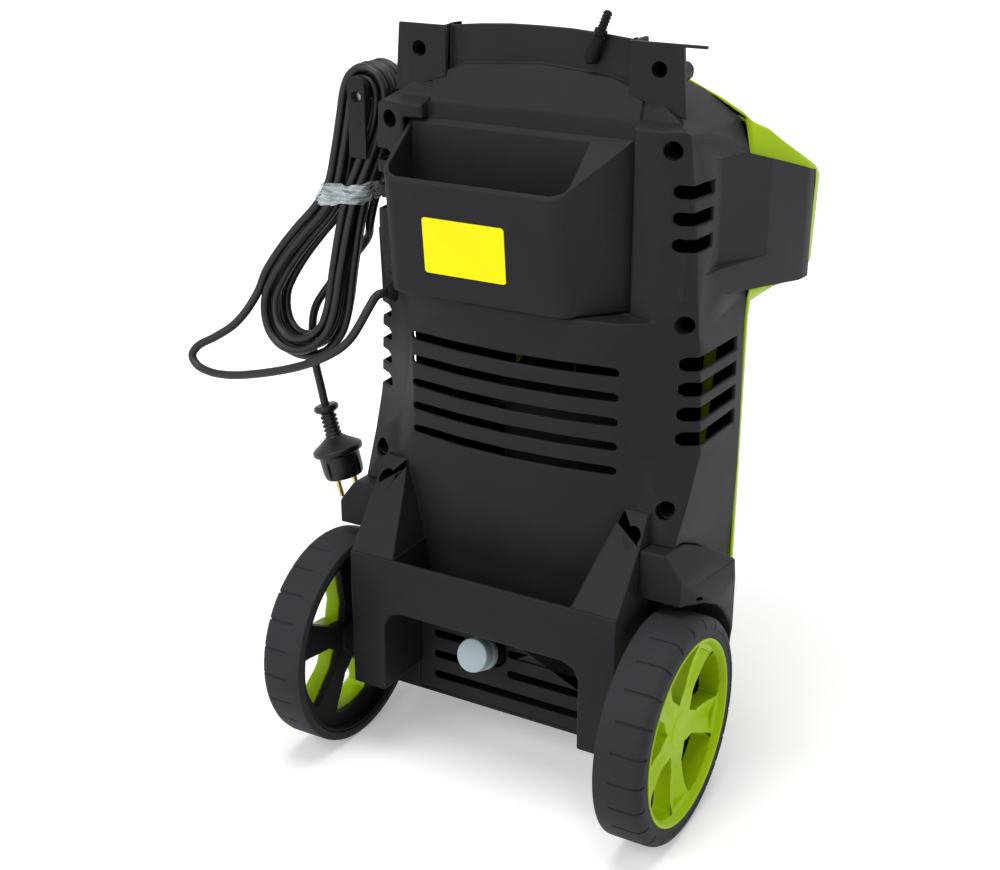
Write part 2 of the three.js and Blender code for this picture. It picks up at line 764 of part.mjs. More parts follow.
function addChassis() {
  const well = rod('x', wheelWell, bumperHalfWidth + fit, fenderWidth + overrun, [0, wheelRadius], wheelSides);
  const clearRear = block([0, fenderWidth + overrun], [-wheelRadius, overrun], [0, wheelRadius]);
  const hollow = fenderForm(-wall)
    .intersect(block([0, fenderWidth], [-seamSetback, overrun], [casingFoot + wall, fenderHeight]));
  const grown = rod('x', wheelWell + wall, 0, fenderWidth + overrun, [0, wheelRadius], wheelSides);
  const fender = fenderForm()
    .subtract(well)
    .subtract(clearRear)
    .subtract(hollow.subtract(grown))
    .intersect(block([0, fenderWidth], [-seamSetback, overrun], [frontFoot, fenderHeight + overrun]));
  const tubBack = panelSetback + wall + fit;
  const tubHalf = bumperHalfWidth - wall / 2;
  const tubPlan = (depth) => mirrored([
    [tubHalf - depth, -tubBack - depth], [tubHalf - depth, -seamSetback - wall * 5], [tubHalf * 0.89 - depth, -motorSetback * 1.42],
    [tubHalf * 0.8 - depth, -tubFront + depth],
  ]).toReversed();
  const tub = prism('z', tubPlan(0), tubFoot, casingFoot - fit);
  const flange = prism('z', footPlan(0), frontFoot, frontFoot + wall);
  const feet = bothSides(block(
    [footX - footHalfWidth, footX + footHalfWidth],
    [-tubFront, -footRear],
    [footPad + fit, tubFoot + wall],
  ));
  const inside = prism('z', tubPlan(wall), tubFoot + wall, casingFoot + overrun);
  const window = block(
    [-grilleHalfWidth - fit, grilleHalfWidth + fit],
    [-tubBack - wall * 2, overrun],
    [grilleFoot, casingFoot + overrun],
  );
  const outletHole = rod('y', outletRadius + fit, -frontSetback - overrun, -motorSetback, [outletX, outletZ], fineSides);
  const rests = [-1, 1].map((side) => block(
    [side * headHalfWidth * 0.7 - wall * 2, side * headHalfWidth * 0.7 + wall * 2],
    [-motorSetback - headHalfWidth * 0.8, -motorSetback + headHalfWidth * 0.8],
    [tubFoot + wall / 2, headFoot - fit],
  ));
  let chassis = union(tub, flange, feet, bothSides(fender));
  chassis = chassis.subtract(inside).subtract(window).subtract(outletHole);
  addPiece('chassis', union(chassis, ...rests), 'blackPlastic');

  const grilleTop = archTop - fit;
  let grille = block(
    [-grilleHalfWidth, grilleHalfWidth],
    [-grilleSetback, -grilleSetback + wall - fit],
    [grilleFoot + fit, grilleTop],
  );
  const cuts = [];
  for (let i = 0; i < grilleSlotCount; i += 1) {
    const z = grilleSlotTop - i * slotPitch;
    const reach = [-grilleSlotReach, grilleSlotReach];
    const gapLow = inletX - capRadius;
    const gapHigh = inletX + capRadius * 1.7;
    const from = -grilleSetback - overrun;
    if (i + 1 < grilleSlotCount) {
      cuts.push(slot([reach[0], gapLow], slotHeight, z, from, 0));
      cuts.push(slot([gapHigh, reach[1]], slotHeight, z, from, 0));
    } else {
      cuts.push(slot(reach, slotHeight, z, from, 0));
    }
  }
  cuts.forEach((form) => {
    grille = grille.subtract(form);
  });
  grille = grille.subtract(inletRod(inletRadius + wall, 0, inletLength));
  addPiece('rear_grille', grille, 'blackPlastic');

  [['left', 1], ['right', -1]].forEach(([side, sign]) => {
    const pad = block(
      [sign * footX - footHalfWidth, sign * footX + footHalfWidth],
      [-tubFront, -footRear],
      [0, footPad],
    );
    addPiece(`${side}_foot_pad`, pad, 'rubber');
  });
}

// Front casing sections from the seam forward. Each row has the setback and then the
// half outline, foot to crown, as shares of the casing half width and height.
const frontLevelShares = [
  [0.607, [0.86, 0.104], [0.94, 0.157], [0.996, 0.26], [1, 0.66], [1.003, 0.69], [1.004, 0.7], [0.998, 0.84],
    [0.925, 0.934], [0.767, 0.955], [0.63, 0.97], [0.31, 0.988], [0, 0.993]],
  [0.648, [0.86, 0.104], [0.93, 0.157], [0.983, 0.26], [0.987, 0.66], [0.997, 0.69], [1.03, 0.7], [1.028, 0.84],
    [0.96, 0.92], [0.81, 0.93], [0.63, 0.956], [0.31, 0.974], [0, 0.98]],
  [0.741, [0.85, 0.104], [0.873, 0.157], [0.89, 0.26], [0.89, 0.66], [1.06, 0.695], [1.08, 0.71], [1.08, 0.83],
    [1, 0.906], [0.82, 0.908], [0.616, 0.932], [0.31, 0.948], [0, 0.955]],
  [0.833, [0.79, 0.104], [0.8, 0.157], [0.8, 0.26], [0.81, 0.66], [1.1, 0.697], [1.12, 0.715], [1.12, 0.83],
    [1.052, 0.882], [0.82, 0.885], [0.603, 0.907], [0.31, 0.922], [0, 0.93]],
  [0.949, [0.64, 0.113], [0.66, 0.165], [0.68, 0.27], [0.69, 0.65], [1.11, 0.695], [1.14, 0.71], [1.155, 0.84],
    [1.125, 0.853], [0.82, 0.862], [0.58, 0.875], [0.31, 0.887], [0, 0.892]],
  [1, [0.52, 0.13], [0.54, 0.18], [0.56, 0.28], [0.58, 0.64], [1.1, 0.7], [1.135, 0.715], [1.15, 0.832],
    [1.12, 0.845], [0.8, 0.85], [0.56, 0.854], [0.3, 0.858], [0, 0.86]],
];

// A share of the half width over 1 stands in the ears beside the wings.
const earShare = 6.636;
const frontHalf = (share) => share * casingHalfWidth
  + Math.max(share - 1, 0) * (earShare * (wingTipWidth - casingHalfWidth) - casingHalfWidth);

function frontForm(depth) {
  const levels = frontLevelShares.map(([setback, ...half]) => {
    const outline = mirrored(half.map(([u, v]) => [frontHalf(u), v * casingHeight]));
    return [depth ? inset(outline, depth) : outline, setback * frontSetback];
  });
  levels[0][1] = depth ? frontSetback / 2 : seamSetback + fit;
  levels.at(-1)[1] -= depth;
  return loft(levels).rotate([90, 0, 0]);
}

function addFrontCasing() {
  let shell = frontForm(0);
  shell = shell.subtract(frontForm(wall)).subtract(bothSides(wingForm(fit)));
  shell = shell.subtract(prism('z', footPlan(fit), 0, frontFoot + wall * 2));
  const lug = union(
    block([casingHalfWidth * 0.9, hookOuter], [-seamSetback - wall * 2, -seamSetback - fit], [hookFoot, hookTop]),
    block([casingHalfWidth + fit * 2, hookOuter], [-seamSetback - wall, -hookRoot], [hookFoot, hookTop]),
  );
  shell = union(shell, lug);
  for (const [, x, z] of wellPlaces) {
    const post = rod('y', wellRadius + wellWall, -frontSetback, -seamSetback - fit, [x, z], smallSides);
    shell = union(shell, post.intersect(frontForm(0)));
    shell = shell.subtract(rod('y', screwShankRadius + fit * 2, -wellDepth - screwLength - fit, 0, [x, z], smallSides));
  }
  const hookScrewHole = rod('y', screwShankRadius + fit, -hookRoot - overrun, 0, hookCentre());
  const knobHole = rod('y', knobShaftRadius + fit, -frontSetback - overrun, -frontSetback / 2, [0, knobHeight]);
  const outletHole = rod('y', outletRadius + fit, -frontSetback - overrun, -motorSetback, [outletX, outletZ], fineSides);
  shell = shell.subtract(hookScrewHole).subtract(knobHole).subtract(outletHole);
  addPiece('front_casing', shell, 'greenPlastic');

  const trim = prism('y', mirrored([
    [panelTrimHalfWidth * 0.7, panelTrimFoot], [panelTrimHalfWidth, panelTrimFoot * 1.4],
    [panelTrimHalfWidth, panelTrimTop * 0.9], [panelTrimHalfWidth * 0.75, panelTrimTop],
  ]), -frontSetback - panelTrimWall, -frontSetback - fit)
    .subtract(rod('y', knobShaftRadius + fit, -frontSetback - overrun, -frontSetback + overrun, [0, knobHeight]));
  addPiece('front_trim_panel', trim, 'darkTrim');
}

const hookCentre = () => [(hookInner + hookOuter) / 2, (hookFoot + hookTop) / 2];

function addHook() {
  const half = (hookOuter - hookInner) / 2;
  const [x, z] = hookCentre();
  const peg = union(
    block([hookInner, hookOuter], [-hookReach - hookHead, -hookReach], [hookFoot, hookTop - half]),
    block([hookInner, hookOuter], [-hookReach - hookTongueWall, -hookReach], [hookFoot - hookTongue, hookTop - half]),
    rod('y', half, -hookReach - hookHead, -hookReach, [x, hookTop - half], fineSides),
    block([x - hookNeck, x + hookNeck], [-hookRoot + fit, -hookReach], [hookNeckFoot, hookNeckTop - hookNeck]),
    rod('y', hookNeck, -hookRoot + fit, -hookReach, [x, hookNeckTop - hookNeck], fineSides),
  );
  const seat = -hookReach - screwHeadDepth * 3;
  addPiece('cord_hook', peg
    .subtract(rod('y', hookScrewRadius + fit, seat, overrun, [x, z]))
    .subtract(rod('y', screwShankRadius + fit, -hookRoot - overrun, 0, [x, z])), 'blackPlastic');
  const screw = union(
    rod('y', hookScrewRadius - fit, seat + fit, seat + screwHeadDepth, [x, z]),
    rod('y', screwShankRadius, -hookRoot - wall, seat + screwHeadDepth / 2, [x, z]),
  );
  addPiece('cord_hook_screw', screw, 'steel');
}

function addCasingScrews() {
  for (const [name, x, z] of wellPlaces) {
    const screw = union(
      rod('y', screwHeadRadius, -wellDepth + fit, -wellDepth + screwHeadDepth, [x, z]),
      rod('y', screwShankRadius, -wellDepth - screwLength + fit, -wellDepth + screwHeadDepth / 2, [x, z], smallSides),
    );
    addPiece(name, screw, 'steel');
  }
}

function addNipple() {
  const spigot = rod('y', nippleRadius, -crownSetback - wall * 3, -nippleSetback, [-nippleX, nippleZ]);
  const tipShares = [
    [0, 0], [1, 0], [1, 0.55], [1.2, 0.56], [1.2, 0.62], [0.7, 0.63], [0.95, 0.72], [0.65, 0.73],
    [0.95, 0.84], [0.65, 0.85], [0.6, 1], [0, 1],
  ];
  const stem = turned(scaled(tipShares, nippleRadius, nippleLength), roundSides)
    .rotate([0, -nippleLean * 180 / Math.PI, 0])
    .translate([-nippleX, -nippleSetback - nippleRadius, nippleZ]);
  const elbow = solid(new THREE.SphereGeometry(nippleRadius * 1.05, smallSides, smallSides / 2))
    .translate([-nippleX, -nippleSetback - nippleRadius, nippleZ]);
  addPiece('hose_nipple', union(spigot, stem, elbow), 'softBlack');
}

// Tool pocket: its plan at the rim and at the foot, left side first.
const pocketPlan = (reach) => [
  [pocketLeft, -recessSetback + fit],
  [pocketLeft, reach - pocketWall * 3],
  [pocketLeft - pocketWall, reach - pocketWall],
  [pocketLeft - pocketWall * 3.5, reach],
  [-pocketRight + pocketWall * 3.5, reach],
  [-pocketRight + pocketWall, reach - pocketWall],
  [-pocketRight, reach - pocketWall * 3],
  [-flankHalfWidth, -recessSetback + fit],
];

function addPocket() {
  const level = (z) => {
    const lean = ((pocketRim - z) / (pocketRim - ledgeHeight)) * pocketLean;
    return [pocketPlan(pocketReach - lean), z];
  };
  const foot = ledgeHeight + fit;
  const outer = loft([level(foot), level(pocketBack + overrun)]);
  const slope = (pocketBack + wall * 2 - pocketRim) / recessSetback;
  const top = prism('x', [
    [overrun, foot], [overrun, pocketRim - slope * overrun],
    [-recessSetback - overrun, pocketBack + wall * 2 + slope * overrun], [-recessSetback - overrun, foot],
  ].toReversed(), -casingHalfWidth, casingHalfWidth);
  const hollowPlan = (z) => {
    const [plan] = level(z);
    const mouth = plan.slice(0, 7);
    mouth.push([-pocketRight + pocketWall / 2, -recessSetback + fit]);
    return [inset(mouth, pocketWall), z];
  };
  const hollow = loft([hollowPlan(pocketFloor), hollowPlan(pocketBack + overrun * 2)]);
  const flankHollow = prism('z', [
    [-pocketRight, -recessSetback * 0.55], [-flankHalfWidth + pocketWall * 2.5, -recessSetback - overrun],
    [-pocketRight, -recessSetback - overrun],
  ], ledgeHeight + pocketWall, pocketRim);
  addPiece('tool_pocket', outer.intersect(top).subtract(hollow).subtract(flankHollow), 'blackPlastic');

  const slopeY = pocketLean / (pocketRim - ledgeHeight);
  const faceY = (z) => pocketReach - (pocketRim - z) * slopeY + fit;
  const sticker = prism('x', [
    [faceY(stickerFoot), stickerFoot], [faceY(stickerTop), stickerTop],
    [faceY(stickerTop) + stickerWall, stickerTop], [faceY(stickerFoot) + stickerWall, stickerFoot],
  ].toReversed(), stickerRight, stickerLeft);
  addPiece('pocket_sticker', sticker, 'yellow');
}

// The cord gland leans out from the pillar face.
function gland(gap = 0) {
  const body = turned([
    [0, -overrun], [glandRadius + gap, -overrun], [glandRadius + gap, glandLength / 2],
    [cordRadius + glandLip, glandLength], [0, glandLength],
  ]);
  return body.rotate([-90, 0, 0]).rotate([0, 0, -glandTurn * 180 / Math.PI])
    .translate([glandX, -glandSetback, glandZ]);
}

function inletRod(radius, from, to) {
  return rod('z', radius, from, to, [0, 0], fineSides)
    .rotate([-90 + inletTilt * 180 / Math.PI, 0, 0])
    .translate([inletX, -motorSetback + headHalfWidth, inletZ]);
}

function addWheels() {
  const innerX = wheelFaceX - wheelWidth;
  const tyreOutline = [
    [wheelRadius - treadWall, innerX], [wheelRadius, innerX],
    [wheelRadius, wheelFaceX - tyreShoulder],
    [wheelRadius - tyreShoulder * 0.3, wheelFaceX - tyreShoulder * 0.3],
    [wheelRadius - tyreShoulder, wheelFaceX], [rimRadius + fit, wheelFaceX], [rimRadius + fit, wheelFaceX - tyreLip],
    [wheelRadius - treadWall, wheelFaceX - tyreLip],
  ];
  const webX = wheelFaceX - trimWall - fit;
  const barrelRadius = wheelRadius - treadWall - fit;
  const wheelOutline = [
    [axleRadius + fit, innerX], [hubRadius, innerX], [hubRadius, webX - webWall], [barrelRadius - barrelWall, webX - webWall],
    [barrelRadius - barrelWall, innerX + fit], [barrelRadius, innerX + fit], [barrelRadius, wheelFaceX - tyreLip - fit],
    [barrelRadius - barrelWall, wheelFaceX - tyreLip - fit], [barrelRadius - barrelWall, webX], [axleRadius + fit, webX],
  ];
  const face = wheelFaceX - trimDish;
  const trimOutline = [
    [0, face - trimPlate], [rimRadius - rimBand / 2, face - trimPlate * 0.6],
    [rimRadius - rimBand / 2, webX + fit], [rimRadius, webX + fit], [rimRadius, wheelFaceX],
    [rimRadius - rimBand / 4, wheelFaceX], [rimRadius - rimBand / 2, wheelFaceX - wall / 2],
    [0, face + wall / 2],
  ];
  const windowShares = [
    [0.28, 0], [0.45, -0.27], [0.9, -0.32], [0.925, 0], [0.9, 0.32], [0.45, 0.27],
  ];
  const windows = Array.from({ length: spokeCount }, (_, i) => {
    const turn = ((i + 0.5) / spokeCount + spokeTurn / 360) * 2 * Math.PI;
    return windowShares.map(([r, a]) => {
      const angle = turn + (a * 2 * Math.PI) / spokeCount;
      return [r * rimRadius * Math.cos(angle), r * rimRadius * Math.sin(angle)];
    });
  });
  const open = (form, from, to) => windows.reduce((whole, outline) => whole.subtract(prism('z', outline, from, to)), form);
  const tyre = turned(tyreOutline, wheelSides);
  const wheel = open(turned(wheelOutline, wheelSides), webX - webWall - overrun, wheelFaceX);
  const pockets = windows.map((outline) => prism('z', inset(outline, -trimPocketWall), webX + fit, face - trimPlate / 2));
  const trim = open(union(turned(trimOutline, wheelSides), ...pockets), webX - overrun, wheelFaceX + overrun);
  const axleEnd = webX + axleClipWall + fit * 2;
  const axle = rod('z', axleRadius, archHalfWidth + wall + fit, axleEnd, [0, 0], fineSides);
  const clip = ring('z', axleClipRadius, axleRadius + fit / 2, webX + fit, axleEnd, [0, 0]);
  [['left', 1], ['right', -1]].forEach(([side, sign]) => {
    const stand = (form) => form.rotate([0, sign * 90, 0]).translate([0, 0, wheelRadius]);
    addPiece(`${side}_tyre`, stand(tyre), 'rubber');
    addPiece(`${side}_wheel`, stand(wheel), 'softBlack');
    addPiece(`${side}_wheel_trim`, stand(trim), 'greenPlastic');
    addPiece(`${side}_axle`, stand(axle), 'steel');
    addPiece(`${side}_axle_clip`, stand(clip), 'steel');
  });
}

function addMotor() {
  const axis = [0, -motorSetback];
  const gap = 2 * fit;
  const bracketBore = (z) => rod('z', bearingRadius + fit, z, z + bearingWidth + fit + overrun, axis, fineSides);
  const shaftBore = rod('z', shaftRadius + shaftGap, 0, casingHeight, axis, fineSides);
  const lowerFoot = casingFoot + fit;
  const lower = rod('z', motorRadius + wall, lowerFoot, motorFoot, axis, fineSides)
    .subtract(bracketBore(lowerFoot + fit)).subtract(shaftBore);
  addPiece('lower_motor_bracket', lower.add(
    ring('z', bearingRadius + wall, shaftRadius + shaftGap, lowerFoot - wall + fit, lowerFoot + fit, axis),
  ), 'castMetal');
  const upperFoot = motorTop + fit;
  const upper = rod('z', motorRadius + wall, upperFoot, upperFoot + bracketWall, axis, fineSides)
    .subtract(rod('z', bearingRadius + fit, upperFoot - overrun, upperFoot + bearingWidth + fit, axis, fineSides))
    .subtract(shaftBore);
  addPiece('upper_motor_bracket', upper, 'castMetal');
  const bearing = (z) => ring('z', bearingRadius, shaftRadius + fit / 2, z, z + bearingWidth, axis);
  addPiece('lower_bearing', bearing(lowerFoot + gap), 'steel');
  addPiece('upper_bearing', bearing(upperFoot), 'steel');
  addPiece('motor_housing', ring('z', motorRadius, motorRadius - wall, motorFoot + fit, motorTop, axis), 'castMetal');
  addPiece('motor_stator', ring(
    'z', motorRadius - wall - fit, rotorRadius + airGap, statorFoot, statorTop, axis,
  ), 'copper');
  const shaft = rod('z', shaftRadius, swashTop - bearingWidth, fanFoot + fanDepth, axis, fineSides);
  addPiece('motor_rotor', shaft.add(rod('z', rotorRadius, statorFoot, statorTop, axis, fineSides)), 'steel');

  // The fan's blades are fused to its disc.
  const disc = ring('z', fanRadius, shaftRadius + fit, fanFoot, fanFoot + wall, axis);
  const hub = ring('z', shaftRadius * 2, shaftRadius + fit, fanFoot, fanFoot + fanDepth, axis);
  const blades = Array.from({ length: fanBlades }, (_, i) => block(
    [shaftRadius * 1.7, fanRadius - wall], [-wall / 3, wall / 3], [fanFoot + wall / 2, fanFoot + fanDepth],
  ).rotate([0, 0, (i * 360) / fanBlades]).translate([0, -motorSetback, 0]));
  addPiece('cooling_fan', union(disc, hub, ...blades), 'softBlack');
}

function addPump() {
  const axis = [0, -motorSetback];
  const places = Array.from({ length: plungerCount }, (_, i) => {
    const angle = Math.PI / 2 + (i * 2 * Math.PI) / plungerCount;
    return [plungerCircle * Math.cos(angle), -motorSetback + plungerCircle * Math.sin(angle)];
  });
  const drop = swashRadius * swashTilt;
  const swashFoot = swashTop - bearingWidth - drop * 2;
  const plungerTop = swashFoot - fit;
  const swash = rod('z', swashRadius, swashFoot, swashTop, axis, fineSides)
    .subtract(prism('x', [
      [-motorSetback - swashRadius - overrun, swashFoot - overrun],
      [-motorSetback + swashRadius + overrun, swashFoot - overrun],
      [-motorSetback + swashRadius + overrun, swashFoot + drop * 2],
      [-motorSetback - swashRadius, swashFoot],
      [-motorSetback - swashRadius - overrun, swashFoot],
    ], -swashRadius - overrun, swashRadius + overrun))
    .subtract(rod('z', shaftRadius + fit, 0, casingHeight, axis, fineSides));
  addPiece('swash_plate', swash, 'steel');

  const housingTop = casingFoot;
  let housing = rod('z', pumpRadius, pumpFoot + fit, housingTop, axis, fineSides)
    .subtract(rod('z', pumpRadius - wall * 2, pumpFoot + wall * 2, housingTop + overrun, axis, fineSides));
  let head = block(
    [-headHalfWidth, headHalfWidth],
    [-motorSetback - headHalfWidth, -motorSetback + headHalfWidth],
    [headFoot, pumpFoot],
  );
  places.forEach((place) => {
    const bore = rod('z', plungerRadius + fit, plungerFoot - fit, casingFoot, place);
    housing = housing.subtract(bore);
    head = head.subtract(bore);
  });
  addPiece('pump_housing', housing, 'castMetal');
  head = head.subtract(rod('y', inletRadius * 0.6, -motorSetback, 0, [inletX, inletZ]))
    .subtract(rod('y', outletRadius * 0.6, -frontSetback, -motorSetback - headHalfWidth / 2, [outletX, outletZ]));
  addPiece('pump_head', head, 'castMetal');
  places.forEach((place, i) => {
    const collar = rod('z', plungerRadius + wall, plungerTop - wall, plungerTop, place);
    addPiece(`plunger_${i + 1}`, rod('z', plungerRadius, plungerFoot, plungerTop, place).add(collar), 'steel');
    const springFoot = pumpFoot + wall * 2 + fit;
    const spring = ring(
      'z', plungerRadius + fit + springWall, plungerRadius + fit,
      springFoot, plungerTop - wall - fit, place, roundSides,
    );
    addPiece(`plunger_spring_${i + 1}`, spring, 'steel');
  });
  const headFace = -motorSetback + headHalfWidth + fit;
  const ahead = block([-casingHalfWidth, casingHalfWidth], [-frontSetback, headFace], [0, casingFoot]);
  const inlet = inletRod(inletRadius, -overrun, inletLength).subtract(inletRod(inletRadius * 0.6, -overrun * 2, inletLength + overrun));
  addPiece('inlet_connector', inlet.subtract(ahead), 'softBlack');
  const filterFrom = inletLength - inletRadius * 2;
  const filter = inletRod(inletRadius * 0.6 - fit, filterFrom, inletLength - fit)
    .subtract(inletRod(inletRadius * 0.3, filterFrom + wall, inletLength + overrun));
  addPiece('inlet_filter', filter, 'steel');
  const capFrom = inletLength - capLength + wall;
  const cap = inletRod(capRadius, capFrom, capFrom + capLength)
    .subtract(inletRod(inletRadius + fit, capFrom - overrun, inletLength + fit));
  addPiece('inlet_cap', cap, 'greyPlastic');
  const outletEnd = frontSetback + wall * 3;
  const outlet = ring('y', outletRadius, outletRadius * 0.6, -outletEnd, -motorSetback - headHalfWidth - fit, [outletX, outletZ]);
  addPiece('outlet_connector', outlet, 'steel');
  const switchX = headHalfWidth + fit;
  const pressure = union(
    block([switchX, switchX + wall * 6], [-motorSetback - wall * 4, -motorSetback + wall * 4], [headFoot + wall, pumpFoot - wall]),
    rod('x', wall * 2, switchX + wall * 5, switchX + wall * 8, [-motorSetback, (headFoot + pumpFoot) / 2]),
  );
  addPiece('pressure_switch', pressure, 'softBlack');
  const capacitorX = -(motorRadius + capacitorRadius) * Math.cos(Math.PI / fineSides) - fit;
  addPiece('capacitor', rod(
    'z', capacitorRadius, capacitorFoot, capacitorFoot + capacitorLength, [capacitorX, -motorSetback], fineSides,
  ), 'greyPlastic');
}

function addSwitch() {
  const inner = -frontSetback + wall + fit;
  const box = block(
    [-switchBoxHalfWidth, switchBoxHalfWidth],
    [inner, inner + switchBoxDepth],
    [knobHeight - switchBoxHalfHeight, knobHeight + switchBoxHalfHeight],
  ).subtract(rod('y', knobShaftRadius + fit, inner - overrun, inner + switchBoxDepth / 2 + fit, [0, knobHeight]));
  addPiece('switch_box', box, 'softBlack');
  const face = -frontSetback - panelTrimWall - fit;
  const grip = block([-knobGrip / 2, knobGrip / 2], [face - knobDepth, face], [knobHeight - knobRadius, knobHeight + knobRadius])
    .intersect(rod('y', knobRadius, face - knobDepth - overrun, face + overrun, [0, knobHeight], fineSides));
  const knob = union(
    rod('y', knobRadius, face - knobDepth * 0.45, face, [0, knobHeight], fineSides),
    grip,
    rod('y', knobShaftRadius, face - wall, inner + switchBoxDepth / 2, [0, knobHeight]),
  );
  addPiece('switch_knob', knob, 'softBlack');
}

// Cord points, [x, y, z], chosen along the photographed route.
const leadRoute = [
  [124.6, -39.7, 384], [126.3, -37, 384], [128.8, -33.4, 382.5], [133, -28.5, 373.5], [138.5, -23.8, 361],
  [144.5, -20.5, 350], [153, -19.5, 340.5], [164, -19, 332.5], [178, -18.5, 324.5], [194, -18, 317],
  [211.5, -17.5, 310.5], [240, -17, 302], [271, -17.5, 295], [294, -18.5, 293.8], [308, -19.5, 297.5],
  [313.5, -21, 304.5], [309, -23.5, 312.5], [292, -27.5, 322.8], [276, -32, 334], [266, -37.5, 346],
];
const dropRoute = [
  [174, -90, 412], [192, -90.5, 390], [213, -87.5, 366], [227, -83.5, 343], [227.5, -78.5, 319],
  [222.8, -75, 296], [217, -73, 278],
];

// One loop's middle line, up the outer run, over the hook and down the inner run.
const hankShape = [
  [251, 362], [243, 381], [224, 409], [203, 433], [191, 451], [186.5, 472], [183.4, 500], [180, 522],
  [176.2, 537], [170, 546.6], [161.3, 550], [152.6, 546.8], [147, 538.5], [146.2, 527], [148.6, 514], [153.5, 496],
  [161.5, 474], [168.5, 454], [174, 424], [177.5, 392], [180.5, 358], [188.5, 336], [203, 324], [221, 320],
  [238, 325.6], [249, 341],
];

// Where rings stand along one loop, closer where it bends.
const hankRings = [
  0, 0.03, 0.07, 0.12, 0.17, 0.21, 0.265, 0.32, 0.355, 0.377, 0.396, 0.415, 0.435, 0.456, 0.49, 0.55, 0.605,
  0.65, 0.72, 0.78, 0.815, 0.85, 0.88, 0.91, 0.94, 0.97,
];

const hankLayerY = (z) => {
  const share = Math.min((z - hankFootHeight) / (hankTopHeight - hankFootHeight), 1);
  return -hankFootSetback - (hankTopSetback - hankFootSetback) * share;
};

// The hank spirals in and out between two widths, and every two turns it moves one cord forward.
function hankRoute() {
  const shape = new THREE.CatmullRomCurve3(
    hankShape.map(([x, z]) => new THREE.Vector3(x, 0, z)), true, 'centripetal',
  );
  const points = [];
  for (let loop = 0; loop < hankEnd; loop += 1) {
    for (const share of hankRings.filter((ringShare) => loop + ringShare + hankPhase < hankEnd)) {
      const at = shape.getPointAt(share);
      const along = shape.getTangentAt(share);
      const phase = loop + share + hankPhase;
      const nest = 2 * Math.abs(1 - ((phase / 2) % 2));
      let layer = 0;
      for (let change = 2; change < hankEnd; change += 2) {
        layer += Math.min(Math.max((phase - change) * 2 + 0.5, 0), 1);
      }
      const out = (nest - 1) * hankPitch;
      points.push(new THREE.Vector3(
        at.x + along.z * out,
        hankLayerY(at.z) + (1.5 - layer) * hankPitch,
        at.z - along.x * out,
      ));
    }
  }
  return points;
}

// The least gap between stretches of the line that lie more than a short way apart along it.
function leastGap(points, reach) {
  let least = Infinity;
  for (let i = 0; i < points.length; i += 1) {
    for (let j = i + reach; j < points.length; j += 1) {
      least = Math.min(least, points[i].distanceTo(points[j]));
    }
  }
  return least - 2 * cordRadius;
}

// A round tube with a ring at every point, its frame carried along without twist.
function tube(points, sides) {
  const places = [];
  const faces = [];
  const side = new THREE.Vector3(0, 1, 0);
  points.forEach((point, i) => {
    const before = points[Math.max(i - 1, 0)];
    const after = points[Math.min(i + 1, points.length - 1)];
    const along = after.clone().sub(before).normalize();
    side.addScaledVector(along, -side.dot(along)).normalize();
    const up = along.clone().cross(side);
    circle(cordRadius, sides).forEach(([u, v]) => {
      const place = point.clone().addScaledVector(side, u).addScaledVector(up, v);
      places.push(place.x, place.y, place.z);
    });
    for (let k = 0; i > 0 && k < sides; k += 1) {
      const next = (k + 1) % sides;
      const here = i * sides;
      const back = here - sides;
      faces.push(back + k, back + next, here + next);
      faces.push(back + k, here + next, here + k);
    }
  });
  const last = (points.length - 1) * sides;
  for (let k = 1; k + 1 < sides; k += 1) {
    faces.push(0, k + 1, k);
    faces.push(last, last + k, last + k + 1);
  }
  const geometry = new THREE.BufferGeometry();
  geometry.setAttribute('position', new THREE.Float32BufferAttribute(places, 3));
  geometry.setIndex(faces);
  geometry.computeVertexNormals();
  return geometry;
}

function addCord() {
  const hank = hankRoute();
  const lead = leadRoute.map((point) => new THREE.Vector3(...point));
  const drop = dropRoute.map((point) => new THREE.Vector3(...point));
  const step = (from, to, share) => from.clone().lerp(to, share);
  lead.push(step(hank[0], hank[1], -0.3), step(hank[0], hank[1], -0.02));
  drop.unshift(step(hank.at(-1), hank.at(-2), -0.02), step(hank.at(-1), hank.at(-2), -0.3));
  drop.push(new THREE.Vector3(...plugTop).addScaledVector(new THREE.Vector3(...plugAxis), -cordRadius));
  drop.push(new THREE.Vector3(...plugTop).addScaledVector(new THREE.Vector3(...plugAxis), -fit));
  const eased = (points, steps) => new THREE.CatmullRomCurve3(points, false, 'centripetal').getSpacedPoints(steps);
  addMesh('cord_lead', tube(eased(lead, leadSteps), cordSides), 'rubber');
  addMesh('cord_hank', tube(hank, hankSides), 'rubber');
  addMesh('cord_drop', tube(eased(drop, dropSteps), cordSides), 'rubber');
  const fine = eased(hank, fineSteps);
  console.log('least gap in the hank', leastGap(fine, fineReach).toFixed(2), 'mm');
  return [...fine, ...eased(drop, dropSteps * 4)];
}

